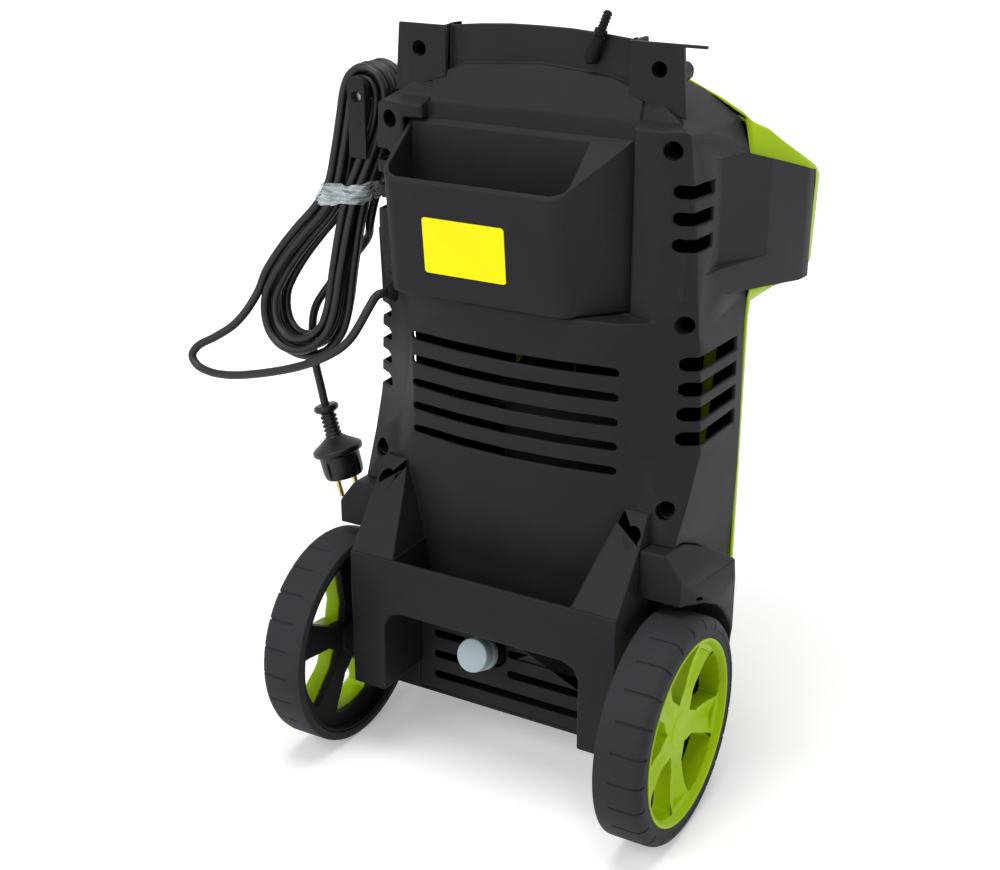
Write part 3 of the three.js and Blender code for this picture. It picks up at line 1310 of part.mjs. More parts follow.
// The clear tape goes round everything that passes its height.
function addTie(line) {
  const outline = (z, extra) => {
    const near = line.filter((point) => Math.abs(point.z - z) < tieWall * 3);
    const reach = cordRadius + fit * 2 + extra;
    const x = near.map((point) => point.x);
    const y = near.map((point) => point.y);
    const [x0, x1] = [Math.min(...x) - reach, Math.max(...x) + reach];
    const [y0, y1] = [Math.min(...y) - reach, Math.max(...y) + reach];
    const bevel = cordRadius;
    return [
      [x0 + bevel, y0], [x1 - bevel, y0], [x1, y0 + bevel], [x1, y1 - bevel],
      [x1 - bevel, y1], [x0 + bevel, y1], [x0, y1 - bevel], [x0, y0 + bevel],
    ];
  };
  const band = (extra, more) => loft([
    [outline(tieFoot, extra), tieFoot - more], [outline(tieTop, extra), tieTop + more],
  ]);
  addPiece('hank_tie', band(tieWall, 0).subtract(band(0, fit)), 'tape');
}

function addPlug() {
  const shares = [
    [0, 0], [0.3, 0], [0.42, 0.02], [0.42, 0.1], [0.26, 0.12], [0.3, 0.2], [0.27, 0.28], [0.34, 0.36], [0.36, 0.46],
    [0.9, 0.52], [1, 0.56], [1, 0.62], [0.82, 0.64], [0.82, 1], [0, 1],
  ];
  const body = turned(scaled(shares, plugFlange, plugLength), plugSides);
  const pins = [-pinReach, pinReach].map((x) => (
    rod('z', pinRadius, plugLength - wall, plugLength + pinLength, [x, 0], smallSides)
  ));
  const tilt = Math.atan2(plugAxis[0], plugAxis[2]) * 180 / Math.PI;
  addPiece('mains_plug', union(body, ...pins).rotate([0, tilt, 0]).translate(plugTop), 'rubber');
}

addRearCasing();
addFrontCasing();
addChassis();
addPocket();
addHook();
addCasingScrews();
addNipple();
addWheels();
addMotor();
addPump();
addSwitch();
addPiece('cord_gland', gland().subtract(block([0, casingHalfWidth], [-seamSetback, -cornerSetback], [0, casingHeight])), 'softBlack');
addTie(addCord());
addPlug();

export default new THREE.Group().add(machine);
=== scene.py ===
import math

import bmesh
import bpy
import numpy as np
from mathutils import Matrix, Vector
from mathutils.bvhtree import BVHTree


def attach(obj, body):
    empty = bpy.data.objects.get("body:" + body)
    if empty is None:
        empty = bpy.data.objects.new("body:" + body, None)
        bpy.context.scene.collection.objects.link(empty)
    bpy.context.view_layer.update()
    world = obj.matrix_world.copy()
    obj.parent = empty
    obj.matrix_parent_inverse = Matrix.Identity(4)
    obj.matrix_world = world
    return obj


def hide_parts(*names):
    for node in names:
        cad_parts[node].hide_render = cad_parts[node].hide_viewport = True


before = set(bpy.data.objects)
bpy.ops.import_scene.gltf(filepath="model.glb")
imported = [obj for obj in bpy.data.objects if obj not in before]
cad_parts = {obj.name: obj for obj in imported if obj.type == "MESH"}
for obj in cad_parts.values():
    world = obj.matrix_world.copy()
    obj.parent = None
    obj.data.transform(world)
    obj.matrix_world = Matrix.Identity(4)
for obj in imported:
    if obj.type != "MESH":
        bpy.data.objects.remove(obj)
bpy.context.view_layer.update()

# A pressure washer seen from behind, with its cord hung on the side hook. Metres, +Z up.
degree = math.pi / 180
axle = Vector((0, 0.071, 0.09))  # middle of the axle line

# The camera that took the photograph, as fitted to the two wheels.
photoCamera = {
    "place": (-0.56594, 1.05394, 0.76149),
    "turn": 29.784,
    "tilt": 22.10,
    "focalPixels": 1609.6,
    "photoWidth": 1000,
    "sensor": 36.0,
}


def addCamera():
    a, e = photoCamera["turn"] * degree, photoCamera["tilt"] * degree
    right = Vector((-math.cos(a), -math.sin(a), 0))
    back = Vector((-math.sin(a) * math.cos(e), math.cos(a) * math.cos(e), math.sin(e)))
    up = back.cross(right)
    data = bpy.data.cameras.new("photoCamera")
    data.sensor_width = photoCamera["sensor"]
    data.lens = photoCamera["sensor"] * photoCamera["focalPixels"] / photoCamera["photoWidth"]
    camera = bpy.data.objects.new("photoCamera", data)
    bpy.context.scene.collection.objects.link(camera)
    place = Matrix((right, up, back)).transposed().to_4x4()
    place.translation = Vector(photoCamera["place"])
    camera.matrix_world = place
    bpy.context.scene.camera = camera
    print("camera placed")


addCamera()


# Meshes and objects.
def meshFrom(name, points, faces):
    mesh = bpy.data.meshes.new(name)
    mesh.from_pydata([tuple(p) for p in points], [], faces)
    mesh.update()
    return mesh


def objectFrom(name, mesh):
    obj = bpy.data.objects.new(name, mesh)
    bpy.context.scene.collection.objects.link(obj)
    return obj


# Bakes an object's modifiers into a plain mesh.
def settle(obj):
    graph = bpy.context.evaluated_depsgraph_get()
    mesh = bpy.data.meshes.new_from_object(obj.evaluated_get(graph), depsgraph=graph)
    obj.modifiers.clear()
    obj.data = mesh
    return obj


# Welds the points, joins the faces that are flat to each other and turns all faces outward.
def cleaned(mesh, flatten=0.7, weld=3e-6):
    bm = bmesh.new()
    bm.from_mesh(mesh)
    bmesh.ops.remove_doubles(bm, verts=bm.verts, dist=weld)
    if flatten:
        bmesh.ops.dissolve_limit(
            bm, angle_limit=flatten * degree, verts=bm.verts, edges=bm.edges, use_dissolve_boundaries=False
        )
    bmesh.ops.recalc_face_normals(bm, faces=bm.faces)
    bm.to_mesh(mesh)
    bm.free()
    return mesh


# The share of an edge and of the faces beside it that a bevel may take, and the least share of its
# width that is worth making.
bevelRoom = {"along": 0.45, "beside": 0.42, "least": 0.12}


def isWithin(spot, box):
    low, high = box
    return all(low[k] <= spot[k] <= high[k] for k in range(3))


# Gives every hard edge a bevel weight that its own faces have room for.
def weighEdges(mesh, width, sharp, skip=None):
    bm = bmesh.new()
    bm.from_mesh(mesh)
    weight = bm.edges.layers.float.get("bevel_weight_edge") or bm.edges.layers.float.new("bevel_weight_edge")
    for edge in bm.edges:
        edge[weight] = 0.0
        if len(edge.link_faces) != 2 or edge.calc_face_angle(0) < sharp * degree:
            continue
        a, b = (v.co for v in edge.verts)
        if skip and (isWithin(a, skip) or isWithin(b, skip)):
            continue
        along = b - a
        room = along.length * bevelRoom["along"]
        for face in edge.link_faces:
            for vert in face.verts:
                if vert in edge.verts:
                    continue
                share = max(0.0, min(1.0, (vert.co - a).dot(along) / along.length_squared))
                gap = (vert.co - a - along * share).length
                room = min(room, gap * bevelRoom["beside"])
        if room > width * bevelRoom["least"]:
            edge[weight] = min(1.0, room / width)
    bm.to_mesh(mesh)
    bm.free()


# Rounds the hard edges and shades the rest smoothly.
def rounded(obj, width, sharp=32, segments=2, smooth=42, skip=None, faceWeight=60):
    weighEdges(obj.data, width, sharp, skip)
    bevel = obj.modifiers.new("round", "BEVEL")
    bevel.limit_method = "WEIGHT"
    bevel.width = width
    bevel.segments = segments
    bevel.use_clamp_overlap = False
    settle(obj)
    obj.data.shade_smooth()
    obj.data.set_sharp_from_angle(angle=smooth * degree)
    normals = obj.modifiers.new("normals", "WEIGHTED_NORMAL")
    normals.keep_sharp = True
    normals.weight = faceWeight
    return settle(obj)


def smoothed(obj, angle=35):
    obj.data.shade_smooth()
    obj.data.set_sharp_from_angle(angle=angle * degree)
    return obj


def moved(obj, matrix):
    obj.data.transform(matrix)
    obj.data.update()
    return obj

quarterTurn = Matrix.Rotation(math.pi / 2, 4, "Z")  # lays what runs along x along y


# Stands what runs along x at a spot, so that it runs along a direction.
def aimed(obj, spot, along):
    turn = Vector((1, 0, 0)).rotation_difference(along).to_matrix().to_4x4()
    return moved(obj, Matrix.Translation(spot) @ turn)


# The faces between two rings of points, of which the first points are given.
def band(count, here, there):
    return [(here + j, here + (j + 1) % count, there + (j + 1) % count, there + j) for j in range(count)]


# The faces of a closed body between two outlines of points.
def prismFaces(count):
    return [tuple(range(count)), tuple(range(2 * count - 1, count - 1, -1)), *band(count, 0, count)]


# A body turned about the X axis from a closed outline of (radius, x) points.
def lathe(name, outline, turns, weld=1e-6, leastEdge=1e-7):
    count = len(outline)
    points = []
    faces = []
    for i in range(turns):
        angle = 2 * math.pi * i / turns
        points += [(x, r * math.cos(angle), r * math.sin(angle)) for r, x in outline]
        faces += band(count, i * count, (i + 1) % turns * count)
    obj = objectFrom(name, meshFrom(name, points, faces))
    bm = bmesh.new()
    bm.from_mesh(obj.data)
    bmesh.ops.remove_doubles(bm, verts=bm.verts, dist=weld)
    bmesh.ops.dissolve_degenerate(bm, edges=bm.edges, dist=leastEdge)
    bmesh.ops.recalc_face_normals(bm, faces=bm.faces)
    bm.to_mesh(obj.data)
    bm.free()
    return obj


# A prism of an outline of (y, z) points along x.
def prismX(name, outline, low, high):
    points = [(low, y, z) for y, z in outline] + [(high, y, z) for y, z in outline]
    return objectFrom(name, cleaned(meshFrom(name, points, prismFaces(len(outline))), 0))


# A round cutter along y, from its (x, z) middle.
def drill(x, z, radius, low, high, turns=32):
    obj = lathe("drill", [(0.0, low), (radius, low), (radius, high), (0.0, high)], turns)
    return moved(obj, Matrix.Translation((x, 0, z)) @ quarterTurn)


def cutAway(obj, cutters):
    for cutter in cutters:
        cut = obj.modifiers.new("cut", "BOOLEAN")
        cut.operation = "DIFFERENCE"
        cut.solver = "EXACT"
        cut.object = cutter
    settle(obj)
    for cutter in cutters:
        bpy.data.objects.remove(cutter)
    return obj


def joined(name, parts):
    bm = bmesh.new()
    for part in parts:
        bm.from_mesh(part.data)
        bpy.data.objects.remove(part)
    mesh = bpy.data.meshes.new(name)
    bm.to_mesh(mesh)
    bm.free()
    return objectFrom(name, mesh)


# Gives a finished piece its material and its body, and hides the nodes that it replaces; the slot is not used.
def place(obj, body, material, nodes=(), slot=None):
    obj.data.materials.clear()
    obj.data.materials.append(material)
    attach(obj, body)
    if nodes:
        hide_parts(*nodes)
    return obj


def addNode(tree, kind, **values):
    node = tree.nodes.new(kind)
    for key, value in values.items():
        if key in node.inputs.keys():
            node.inputs[key].default_value = value
        else:
            setattr(node, key, value)
    return node


# Trees of Geometry Nodes for what repeats. Each paints its copies with one material.
def newTree(name, **inputs):
    tree = bpy.data.node_groups.new(name, "GeometryNodeTree")
    for label, kind in {"Geometry": "Geometry", **inputs, "Material": "Material"}.items():
        tree.interface.new_socket(label, in_out="INPUT", socket_type=f"NodeSocket{kind}")
    tree.interface.new_socket("Geometry", in_out="OUTPUT", socket_type="NodeSocketGeometry")
    return tree, tree.nodes.new("NodeGroupInput"), tree.nodes.new("NodeGroupOutput")


def endTree(tree, geometry, source, out):
    realize = tree.nodes.new("GeometryNodeRealizeInstances")
    paint = tree.nodes.new("GeometryNodeSetMaterial")
    tree.links.new(geometry, realize.inputs["Geometry"])
    tree.links.new(realize.outputs["Geometry"], paint.inputs["Geometry"])
    tree.links.new(source.outputs["Material"], paint.inputs["Material"])
    tree.links.new(paint.outputs["Geometry"], out.inputs["Geometry"])


# The piece's own mesh, repeated in a ring about the X axis.
def ringTree():
    tree, source, out = newTree("ringOfCopies", Copies="Int")
    points = tree.nodes.new("GeometryNodePoints")
    index = tree.nodes.new("GeometryNodeInputIndex")
    share = addNode(tree, "ShaderNodeMath", operation="DIVIDE")
    turn = addNode(tree, "ShaderNodeMath", operation="MULTIPLY")
    turn.inputs[1].default_value = 2 * math.pi
    spin = tree.nodes.new("ShaderNodeCombineXYZ")
    copies = tree.nodes.new("GeometryNodeInstanceOnPoints")
    link = tree.links.new
    link(source.outputs["Copies"], points.inputs["Count"])
    link(index.outputs[0], share.inputs[0])
    link(source.outputs["Copies"], share.inputs[1])
    link(share.outputs[0], turn.inputs[0])
    link(turn.outputs[0], spin.inputs["X"])
    link(points.outputs[0], copies.inputs["Points"])
    link(source.outputs["Geometry"], copies.inputs["Instance"])
    link(spin.outputs[0], copies.inputs["Rotation"])
    endTree(tree, copies.outputs[0], source, out)
    return tree


# The piece's own mesh, repeated along a line at an even step.
def rowTree():
    tree, source, out = newTree("rowOfCopies", Copies="Int", Step="Vector")
    line = tree.nodes.new("GeometryNodeMeshLine")
    copies = tree.nodes.new("GeometryNodeInstanceOnPoints")
    link = tree.links.new
    link(source.outputs["Copies"], line.inputs["Count"])
    link(source.outputs["Step"], line.inputs["Offset"])
    link(line.outputs[0], copies.inputs["Points"])
    link(source.outputs["Geometry"], copies.inputs["Instance"])
    endTree(tree, copies.outputs[0], source, out)
    return tree


# Another object's mesh, repeated on every point of the piece.
def pointsTree():
    tree, source, out = newTree("copiesOnPoints", Copy="Object")
    info = tree.nodes.new("GeometryNodeObjectInfo")
    copies = tree.nodes.new("GeometryNodeInstanceOnPoints")
    link = tree.links.new
    link(source.outputs["Copy"], info.inputs["Object"])
    link(source.outputs["Geometry"], copies.inputs["Points"])
    link(info.outputs["Geometry"], copies.inputs["Instance"])
    endTree(tree, copies.outputs[0], source, out)
    return tree


def grow(obj, tree, **values):
    modifier = obj.modifiers.new("copies", "NODES")
    modifier.node_group = tree
    for item in tree.interface.items_tree:
        if item.item_type == "SOCKET" and item.in_out == "INPUT" and item.name in values:
            modifier[item.identifier] = values[item.name]
    return settle(obj)


ringOfCopies, rowOfCopies, copiesOnPoints = ringTree(), rowTree(), pointsTree()


# Materials, all in the object's own coordinates.
grainNoise = {"Detail": 3.0, "Roughness": 0.6}
cloudNoise = {"Scale": 14.0, "Detail": 4.0, "Roughness": 0.55}
cloudSpread = {"grainStrength": 0.55, "tone": (0.35, 0.65), "gloss": (0.3, 0.7)}


def newMaterial(name):
    material = bpy.data.materials.new(name)
    material.use_nodes = True
    return material, material.node_tree, material.node_tree.nodes["Principled BSDF"]


# Spreads a value from one span of numbers to another.
def spread(tree, value, low, high, newLow=0.0, newHigh=1.0):
    node = tree.nodes.new("ShaderNodeMapRange")
    for label, number in (("From Min", low), ("From Max", high), ("To Min", newLow), ("To Max", newHigh)):
        node.inputs[label].default_value = number
    tree.links.new(value, node.inputs["Value"])
    return node.outputs[0]


# Moulded plastic or rubber: fine grain, soft unevenness in tone and gloss.
def moulded(name, colour, gloss, shine=0.1, grain=1500, depth=0.00006, tone=0.12):
    material, tree, shader = newMaterial(name)
    link = tree.links.new
    where = addNode(tree, "ShaderNodeTexCoord")
    fine = addNode(tree, "ShaderNodeTexNoise", Scale=grain, **grainNoise)
    cloud = addNode(tree, "ShaderNodeTexNoise", **cloudNoise)
    for noise in (fine, cloud):
        link(where.outputs["Object"], noise.inputs["Vector"])
    bump = addNode(tree, "ShaderNodeBump", Strength=cloudSpread["grainStrength"], Distance=depth)
    link(fine.outputs[0], bump.inputs["Height"])
    link(bump.outputs[0], shader.inputs["Normal"])
    shade = addNode(tree, "ShaderNodeMix", data_type="RGBA")
    darker, lighter = [s for s in shade.inputs if s.type == "RGBA"]
    darker.default_value = (*[c * (1 - tone) for c in colour], 1)
    lighter.default_value = (*[min(1, c * (1 + tone)) for c in colour], 1)
    link(spread(tree, cloud.outputs[0], *cloudSpread["tone"]), shade.inputs[0])
    link(next(s for s in shade.outputs if s.type == "RGBA"), shader.inputs["Base Color"])
    link(spread(tree, cloud.outputs[0], *cloudSpread["gloss"], *gloss), shader.inputs["Roughness"])
    shader.inputs["Specular IOR Level"].default_value = shine
    return material


def metal(name, colour, gloss):
    material = moulded(name, colour, gloss, shine=0.5, grain=700, depth=0.00003, tone=0.06)
    material.node_tree.nodes["Principled BSDF"].inputs["Metallic"].default_value = 1.0
    return material


blackPlastic = moulded("blackPlastic", (0.0165, 0.016, 0.019), (0.42, 0.54))
chassisPlastic = moulded("chassisPlastic", (0.0165, 0.016, 0.0185), (0.46, 0.58))
softBlack = moulded("softBlack", (0.009, 0.009, 0.0105), (0.5, 0.62), shine=0.08)
# Near-black that stands for painted shade inside the casing, not for a part's own colour.
paintedShadeBlack = moulded("paintedShadeBlack", (0.003, 0.003, 0.0035), (0.6, 0.75), shine=0.08)
greenPlastic = moulded("greenPlastic", (0.35, 0.53, 0.002), (0.3, 0.42), depth=0.00003, tone=0.05)
greyPlastic = moulded("greyPlastic", (0.42, 0.52, 0.56), (0.38, 0.5), tone=0.05)
darkTrim = moulded("darkTrim", (0.012, 0.012, 0.014), (0.35, 0.45))
tyreRubber = moulded("tyreRubber", (0.027, 0.026, 0.03), (0.55, 0.7), grain=900, depth=0.0001)
footRubber = moulded("footRubber", (0.012, 0.012, 0.013), (0.6, 0.75), grain=800, depth=0.0001)
cordRubber = moulded(
    "cordRubber", (0.006, 0.0066, 0.0085), (0.34, 0.46), shine=0.32, grain=1200, depth=0.00004
)
yellowFilm = moulded(
    "yellowFilm", (0.94, 0.86, 0.0), (0.3, 0.42), shine=0.15, grain=300, depth=0.00002, tone=0.02
)
zincSteel = metal("zincSteel", (0.5, 0.51, 0.53), (0.3, 0.42))
paintedCasting = moulded("paintedCasting", (0.02, 0.02, 0.022), (0.5, 0.62))
castMetal = metal("castMetal", (0.45, 0.46, 0.47), (0.5, 0.65))
brassPin = metal("brassPin", (0.62, 0.5, 0.26), (0.25, 0.35))
copperCoil = metal("copperCoil", (0.45, 0.18, 0.07), (0.35, 0.5))

film = {
    "colour": (0.6, 0.68, 0.71, 1), "roughness": 0.2, "stretch": (60.0, 60.0, 420.0),
    "waves": (0.38, 0.66), "alpha": (0.12, 0.7), "creaseStrength": 0.7, "creaseDepth": 0.0006,
}


# Clear tape: creases along it that are now clear, now cloudy.
def clearTapeMaterial():
    material, tree, shader = newMaterial("clearTape")
    link = tree.links.new
    where = addNode(tree, "ShaderNodeTexCoord")
    stretch = addNode(tree, "ShaderNodeMapping", Scale=film["stretch"])
    wave = addNode(tree, "ShaderNodeTexNoise", Scale=1.0, Detail=5.0, Roughness=0.7)
    link(where.outputs["Object"], stretch.inputs["Vector"])
    link(stretch.outputs[0], wave.inputs["Vector"])
    link(spread(tree, wave.outputs[0], *film["waves"], *film["alpha"]), shader.inputs["Alpha"])
    bump = addNode(tree, "ShaderNodeBump", Strength=film["creaseStrength"], Distance=film["creaseDepth"])
    link(wave.outputs[0], bump.inputs["Height"])
    link(bump.outputs[0], shader.inputs["Normal"])
    shader.inputs["Base Color"].default_value = film["colour"]
    shader.inputs["Roughness"].default_value = film["roughness"]
    return material


clearTape = clearTapeMaterial()
print("materials made")

# CAD nodes that keep their shape and only get a finish.
plainNodes = [
    (darkTrim, ["front_trim_panel"]),
    (footRubber, ["left_foot_pad", "right_foot_pad"]),
    (paintedCasting, ["lower_motor_bracket", "upper_motor_bracket", "motor_housing", "pump_housing"]),
    (castMetal, ["pump_head"]),
    (copperCoil, ["motor_stator"]),
    (softBlack, ["cooling_fan", "pressure_switch", "switch_box"]),
    (greyPlastic, ["capacitor"]),
    (zincSteel, [
        "left_axle", "right_axle", "left_axle_clip", "right_axle_clip", "lower_bearing", "upper_bearing",
        "motor_rotor", "swash_plate", "plunger_1", "plunger_2", "plunger_3", "plunger_spring_1",
        "plunger_spring_2", "plunger_spring_3", "inlet_filter", "cord_hook_screw",
    ]),
]
for finish, nodeNames in plainNodes:
    for nodeName in nodeNames:
        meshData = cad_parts[nodeName].data
        meshData.materials.clear()
        meshData.materials.append(finish)

# Moulded shells: the frame's solids with rounded edges.
shells = {  # name, finish, slot, width and segments of the rounding
    "rear_casing": ("rearShell", blackPlastic, "black_plastic", 0.0022, 3),
    "front_casing": ("frontShell", greenPlastic, "green_plastic", 0.0025, 3),
    "chassis": ("lowerShell", chassisPlastic, "black_plastic", 0.0024, 3),
    "rear_grille": ("inletGrille", chassisPlastic, "black_plastic", 0.0009, 2),
    "tool_pocket": ("toolPocket", blackPlastic, "black_plastic", 0.0028, 3),
    "cord_hook": ("cordHook", blackPlastic, "black_plastic", 0.0015, 3),
    "cord_gland": ("cordGland", softBlack, "soft_black", 0.001, 2),
    "inlet_connector": ("inletPipe", softBlack, "soft_black", 0.0006, 2),
    "outlet_connector": ("outletPipe", zincSteel, "plated_steel", 0.0006, 2),
}
shellExtras = {"chassis": {"smooth": 55}}  # shades its wide bends smoothly too
wells = {
    "radius": 0.0069, "seat": -0.047, "mouth": 0.06,
    "middles": [
        (-0.118, 0.523), (0.118, 0.523), (-0.129, 0.395), (-0.127, 0.253), (0.127, 0.253), (-0.11, 0.236),
        (0.11, 0.236),
    ],
}
handleHole = {"radius": 0.0059, "x": 0.099, "z": 0.5755, "floor": -0.0065, "mouth": 0.02}
plateLip = ((-0.14, -0.1, 0.588), (-0.106, 0.1, 0.6))  # too thin to round

ventRib = {"x": 0.112, "foot": 0.295, "top": 0.405, "half": 0.0015, "deep": 0.006, "round": 0.0006}


# A rib that stands in the lower vents on each side, in the near-black of the painted shade inside the casing.
def addVentRibs():
    v = ventRib
    ribs = []
    for side in (-1, 1):
        near, far = v["half"] - side * v["x"], -v["half"] - side * v["x"]
        corners = [(near, v["foot"]), (far, v["foot"]), (far, v["top"]), (near, v["top"])]
        rib = moved(prismX("ventRib", corners, -v["deep"], v["deep"]), quarterTurn)
        ribs.append(rounded(rib, v["round"]))
    place(joined("ventRibs", ribs), "machine", paintedShadeBlack, (), "black_plastic")


def roundHoles():
    w, h = wells, handleHole
    holes = [drill(x, z, w["radius"], w["seat"], w["mouth"]) for x, z in w["middles"]]
    return holes + [drill(side * h["x"], h["z"], h["radius"], h["floor"], h["mouth"]) for side in (-1, 1)]


# Paints shade on the faces that look into the casing: they take a near-black material in place of their own
# colour.
def paintShadeInside(obj, others, reach=0.45, skin=0.02, lift=0.0004):
    graph = bpy.context.evaluated_depsgraph_get()
    trees = [BVHTree.FromObject(other, graph) for other in others]
    obj.data.materials.append(paintedShadeBlack)
    for face in obj.data.polygons:
        start = face.center + face.normal * lift
        hits = [tree.ray_cast(start, face.normal, reach) for tree in trees]
        if any(hit[0] is not None and hit[3] > skin for hit in hits):
            face.material_index = 1


def addShells():
    made = {}
    for node, (name, finish, slot, width, segments) in shells.items():
        obj = objectFrom(name, cleaned(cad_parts[node].data.copy()))
        if node == "rear_casing":
            cutAway(obj, roundHoles())
        rounded(obj, width, segments=segments, skip=plateLip, **shellExtras.get(node, {}))
        made[node] = place(obj, "machine", finish, [node], slot)
        print("shell", node, len(obj.data.polygons), "faces")
    paintShadeInside(made["front_casing"], [made["front_casing"], made["rear_casing"]])
    addVentRibs()


addShells()

# Wheels, made about the axle for the left side and turned round for the right.
tyre = {
    "radius": 0.09, "inner": 0.1312, "outer": 0.17, "shoulder": 0.008, "wall": 0.007, "rim": 0.0746,
    "treads": 24, "groove": 0.0011, "grooveStart": 0.144, "halfWidth": 0.36, "edge": 0.75,
    "chamfer": 0.0006, "lip": 0.0046,
    "backEdge": [(0.0016, 0.0), (0.0003, 0.0006), (0.0, 0.0022)],  # below the tread, past the inner side
}
wheelWindow = {
    "apex": 0.021, "middle": 0.0335, "outer": 0.0675, "middleHalf": 19.5, "outerHalf": 23.0, "turn": 53.0,
    "bow": 0.8, "corners": [(-0.0008, 0.97), (0.001, 0.85)], "crown": 0.0015,
}
windowReach = {"trim": (0.1373, 0.18), "wheel": (0.1267, 0.1645)}  # where the cutters begin and end
trimProfile = [  # radius and x, from the back's middle round to the hub's face
    (0.0, 0.1518), (0.0115, 0.1518), (0.0115, 0.1473), (0.0742, 0.1473), (0.0742, 0.1694), (0.0736, 0.17),
    (0.0726, 0.17), (0.071, 0.1686), (0.069, 0.1647), (0.058, 0.1617), (0.04, 0.1601), (0.0205, 0.1605),
    (0.0157, 0.1607), (0.0145, 0.1614), (0.0129, 0.162), (0.006, 0.1625), (0.0, 0.1626),
]
wheelProfile = [  # radius and x, from the hub's inner end round the barrel to the web's face
    (0.0054, 0.1312), (0.0125, 0.1312), (0.0135, 0.1322), (0.0145, 0.1387), (0.0165, 0.1407),
    (0.0776, 0.1407), (0.0796, 0.1387), (0.0796, 0.1316), (0.0826, 0.1316), (0.0826, 0.1646),
    (0.0796, 0.1646), (0.0796, 0.1467), (0.0054, 0.1467),
]
trimFace = {"level": 0.1605, "above": 0.18}  # x of the spokes' face, and x clear of the trim
spokeValley = [  # distance from the axle, half width, depth, height of the dish there
    (0.0195, 0.0008, 0.0002, 0.0002), (0.034, 0.0076, 0.0026, -0.0002), (0.05, 0.0104, 0.0031, 0.0004),
    (0.0645, 0.0126, 0.0032, 0.0026),
]
spokes = 5
wheelRound = {"sharp": 30, "smooth": 38}


def polar(radius, angle):
    return radius * math.cos(angle * degree), radius * math.sin(angle * degree)


# The gap between two spokes, as (radius, angle) points about its middle.
def windowOutline(grow=0.0):
    w = wheelWindow
    half = w["middleHalf"] + grow / w["middle"] / degree
    outerHalf = w["outerHalf"] + grow / w["outer"] / degree
    side = []
    for share in (0.5, 1.0):
        side.append((w["apex"] + (w["middle"] - w["apex"]) * share, half * share ** w["bow"]))
    for share in (0.4, 0.8):
        side.append((w["middle"] + (w["outer"] - w["middle"]) * share, half + (outerHalf - half) * share))
    side += [(w["outer"] + rise + grow, outerHalf * share) for rise, share in w["corners"]]
    arc = [(w["outer"] + w["crown"] + grow, outerHalf * share) for share in (0.5, 0.17, -0.17, -0.5)]
    return [(w["apex"] - grow, 0.0)] + side + arc + [(r, -a) for r, a in reversed(side)]


def windowCutters(low, high, grow=0.0):
    cutters = []
    for k in range(spokes):
        middle = (k + 0.5) * 360 / spokes - wheelWindow["turn"]
        cutters.append(prismX("window", [polar(r, middle + a) for r, a in windowOutline(grow)], low, high))
    return cutters


# One share of the tyre about a groove that crosses the tread and the shoulder.
def tyreSector():
    t = tyre
    r, x, s, c = t["radius"], t["outer"], t["shoulder"], t["chamfer"]
    outline = [(r - t["wall"], t["inner"], 0)]
    outline += [(r - drop, t["inner"] + past, 0) for drop, past in t["backEdge"]]
    outline += [(r, t["grooveStart"] - c, 0), (r, t["grooveStart"], 1)]
    for share in (0.0, 0.25, 0.5, 0.75, 1.0):
        turn = share * 90 * degree
        outline.append((r - s + s * math.cos(turn), x - s + s * math.sin(turn), 1))
    outline += [(r - s - c, x, 0), (r - s - 2 * c, x - c, 0), (t["rim"], x - c, 0)]
    outline += [(t["rim"], x - t["lip"], 0), (r - t["wall"], x - t["lip"], 0)]
    half, edge, step = t["halfWidth"], t["edge"], 360 / t["treads"]
    turns = [
        (-step / 2, 0), (-step / 4, 0), (-edge, 0), (-half, 1),
        (half, 1), (edge, 0), (step / 4, 0), (step / 2, 0),
    ]
    count = len(outline)
    normals = []
    for i in range(count):
        before, after = outline[i - 1], outline[(i + 1) % count]
        along = Vector((after[0] - before[0], after[1] - before[1])).normalized()
        normals.append((along.y, -along.x))
    points, faces = [], []
    for k, (turn, deep) in enumerate(turns):
        for (ri, xi, cut), (nr, nx) in zip(outline, normals):
            drop = t["groove"] * deep * cut
            points.append((xi - nx * drop, *polar(ri - nr * drop, turn)))
        if k:
            faces += band(count, (k - 1) * count, k * count)
    return objectFrom("tyreSector", meshFrom("tyreSector", points, faces))


def makeTyre():
    obj = grow(tyreSector(), ringOfCopies, Copies=tyre["treads"], Material=tyreRubber)
    cleaned(obj.data, 0)
    return smoothed(obj, 40)


# A V-shaped cutter that leaves two facets along a spoke.
def valleyCutter(angle):
    points, faces = [], []
    c, s = polar(1, angle)
    above = trimFace["above"]
    for k, (u, half, deep, rise) in enumerate(spokeValley):
        level = trimFace["level"] + rise
        section = [(level, -half), (level - deep, 0.0), (level, half), (above, half), (above, -half)]
        count = len(section)
        points += [(x, u * c - v * s, u * s + v * c) for x, v in section]
        if k:
            faces += band(count, (k - 1) * count, k * count)
    last = len(points) - count
    faces += [tuple(reversed(range(count))), tuple(range(last, last + count))]
    return objectFrom("valley", cleaned(meshFrom("valley", points, faces), 0))


def makeTrim():
    obj = lathe("trim", trimProfile, 120)
    valleys = [valleyCutter(k * 360 / spokes - wheelWindow["turn"]) for k in range(spokes)]
    cutAway(obj, windowCutters(*windowReach["trim"]) + valleys)
    cleaned(obj.data, 0.3)
    return rounded(obj, 0.0011, **wheelRound)


def makeWheel():
    obj = lathe("wheel", wheelProfile, 96)
    cutAway(obj, windowCutters(*windowReach["wheel"], 0.0006))
    cleaned(obj.data, 0.3)
    return rounded(obj, 0.0012, **wheelRound)


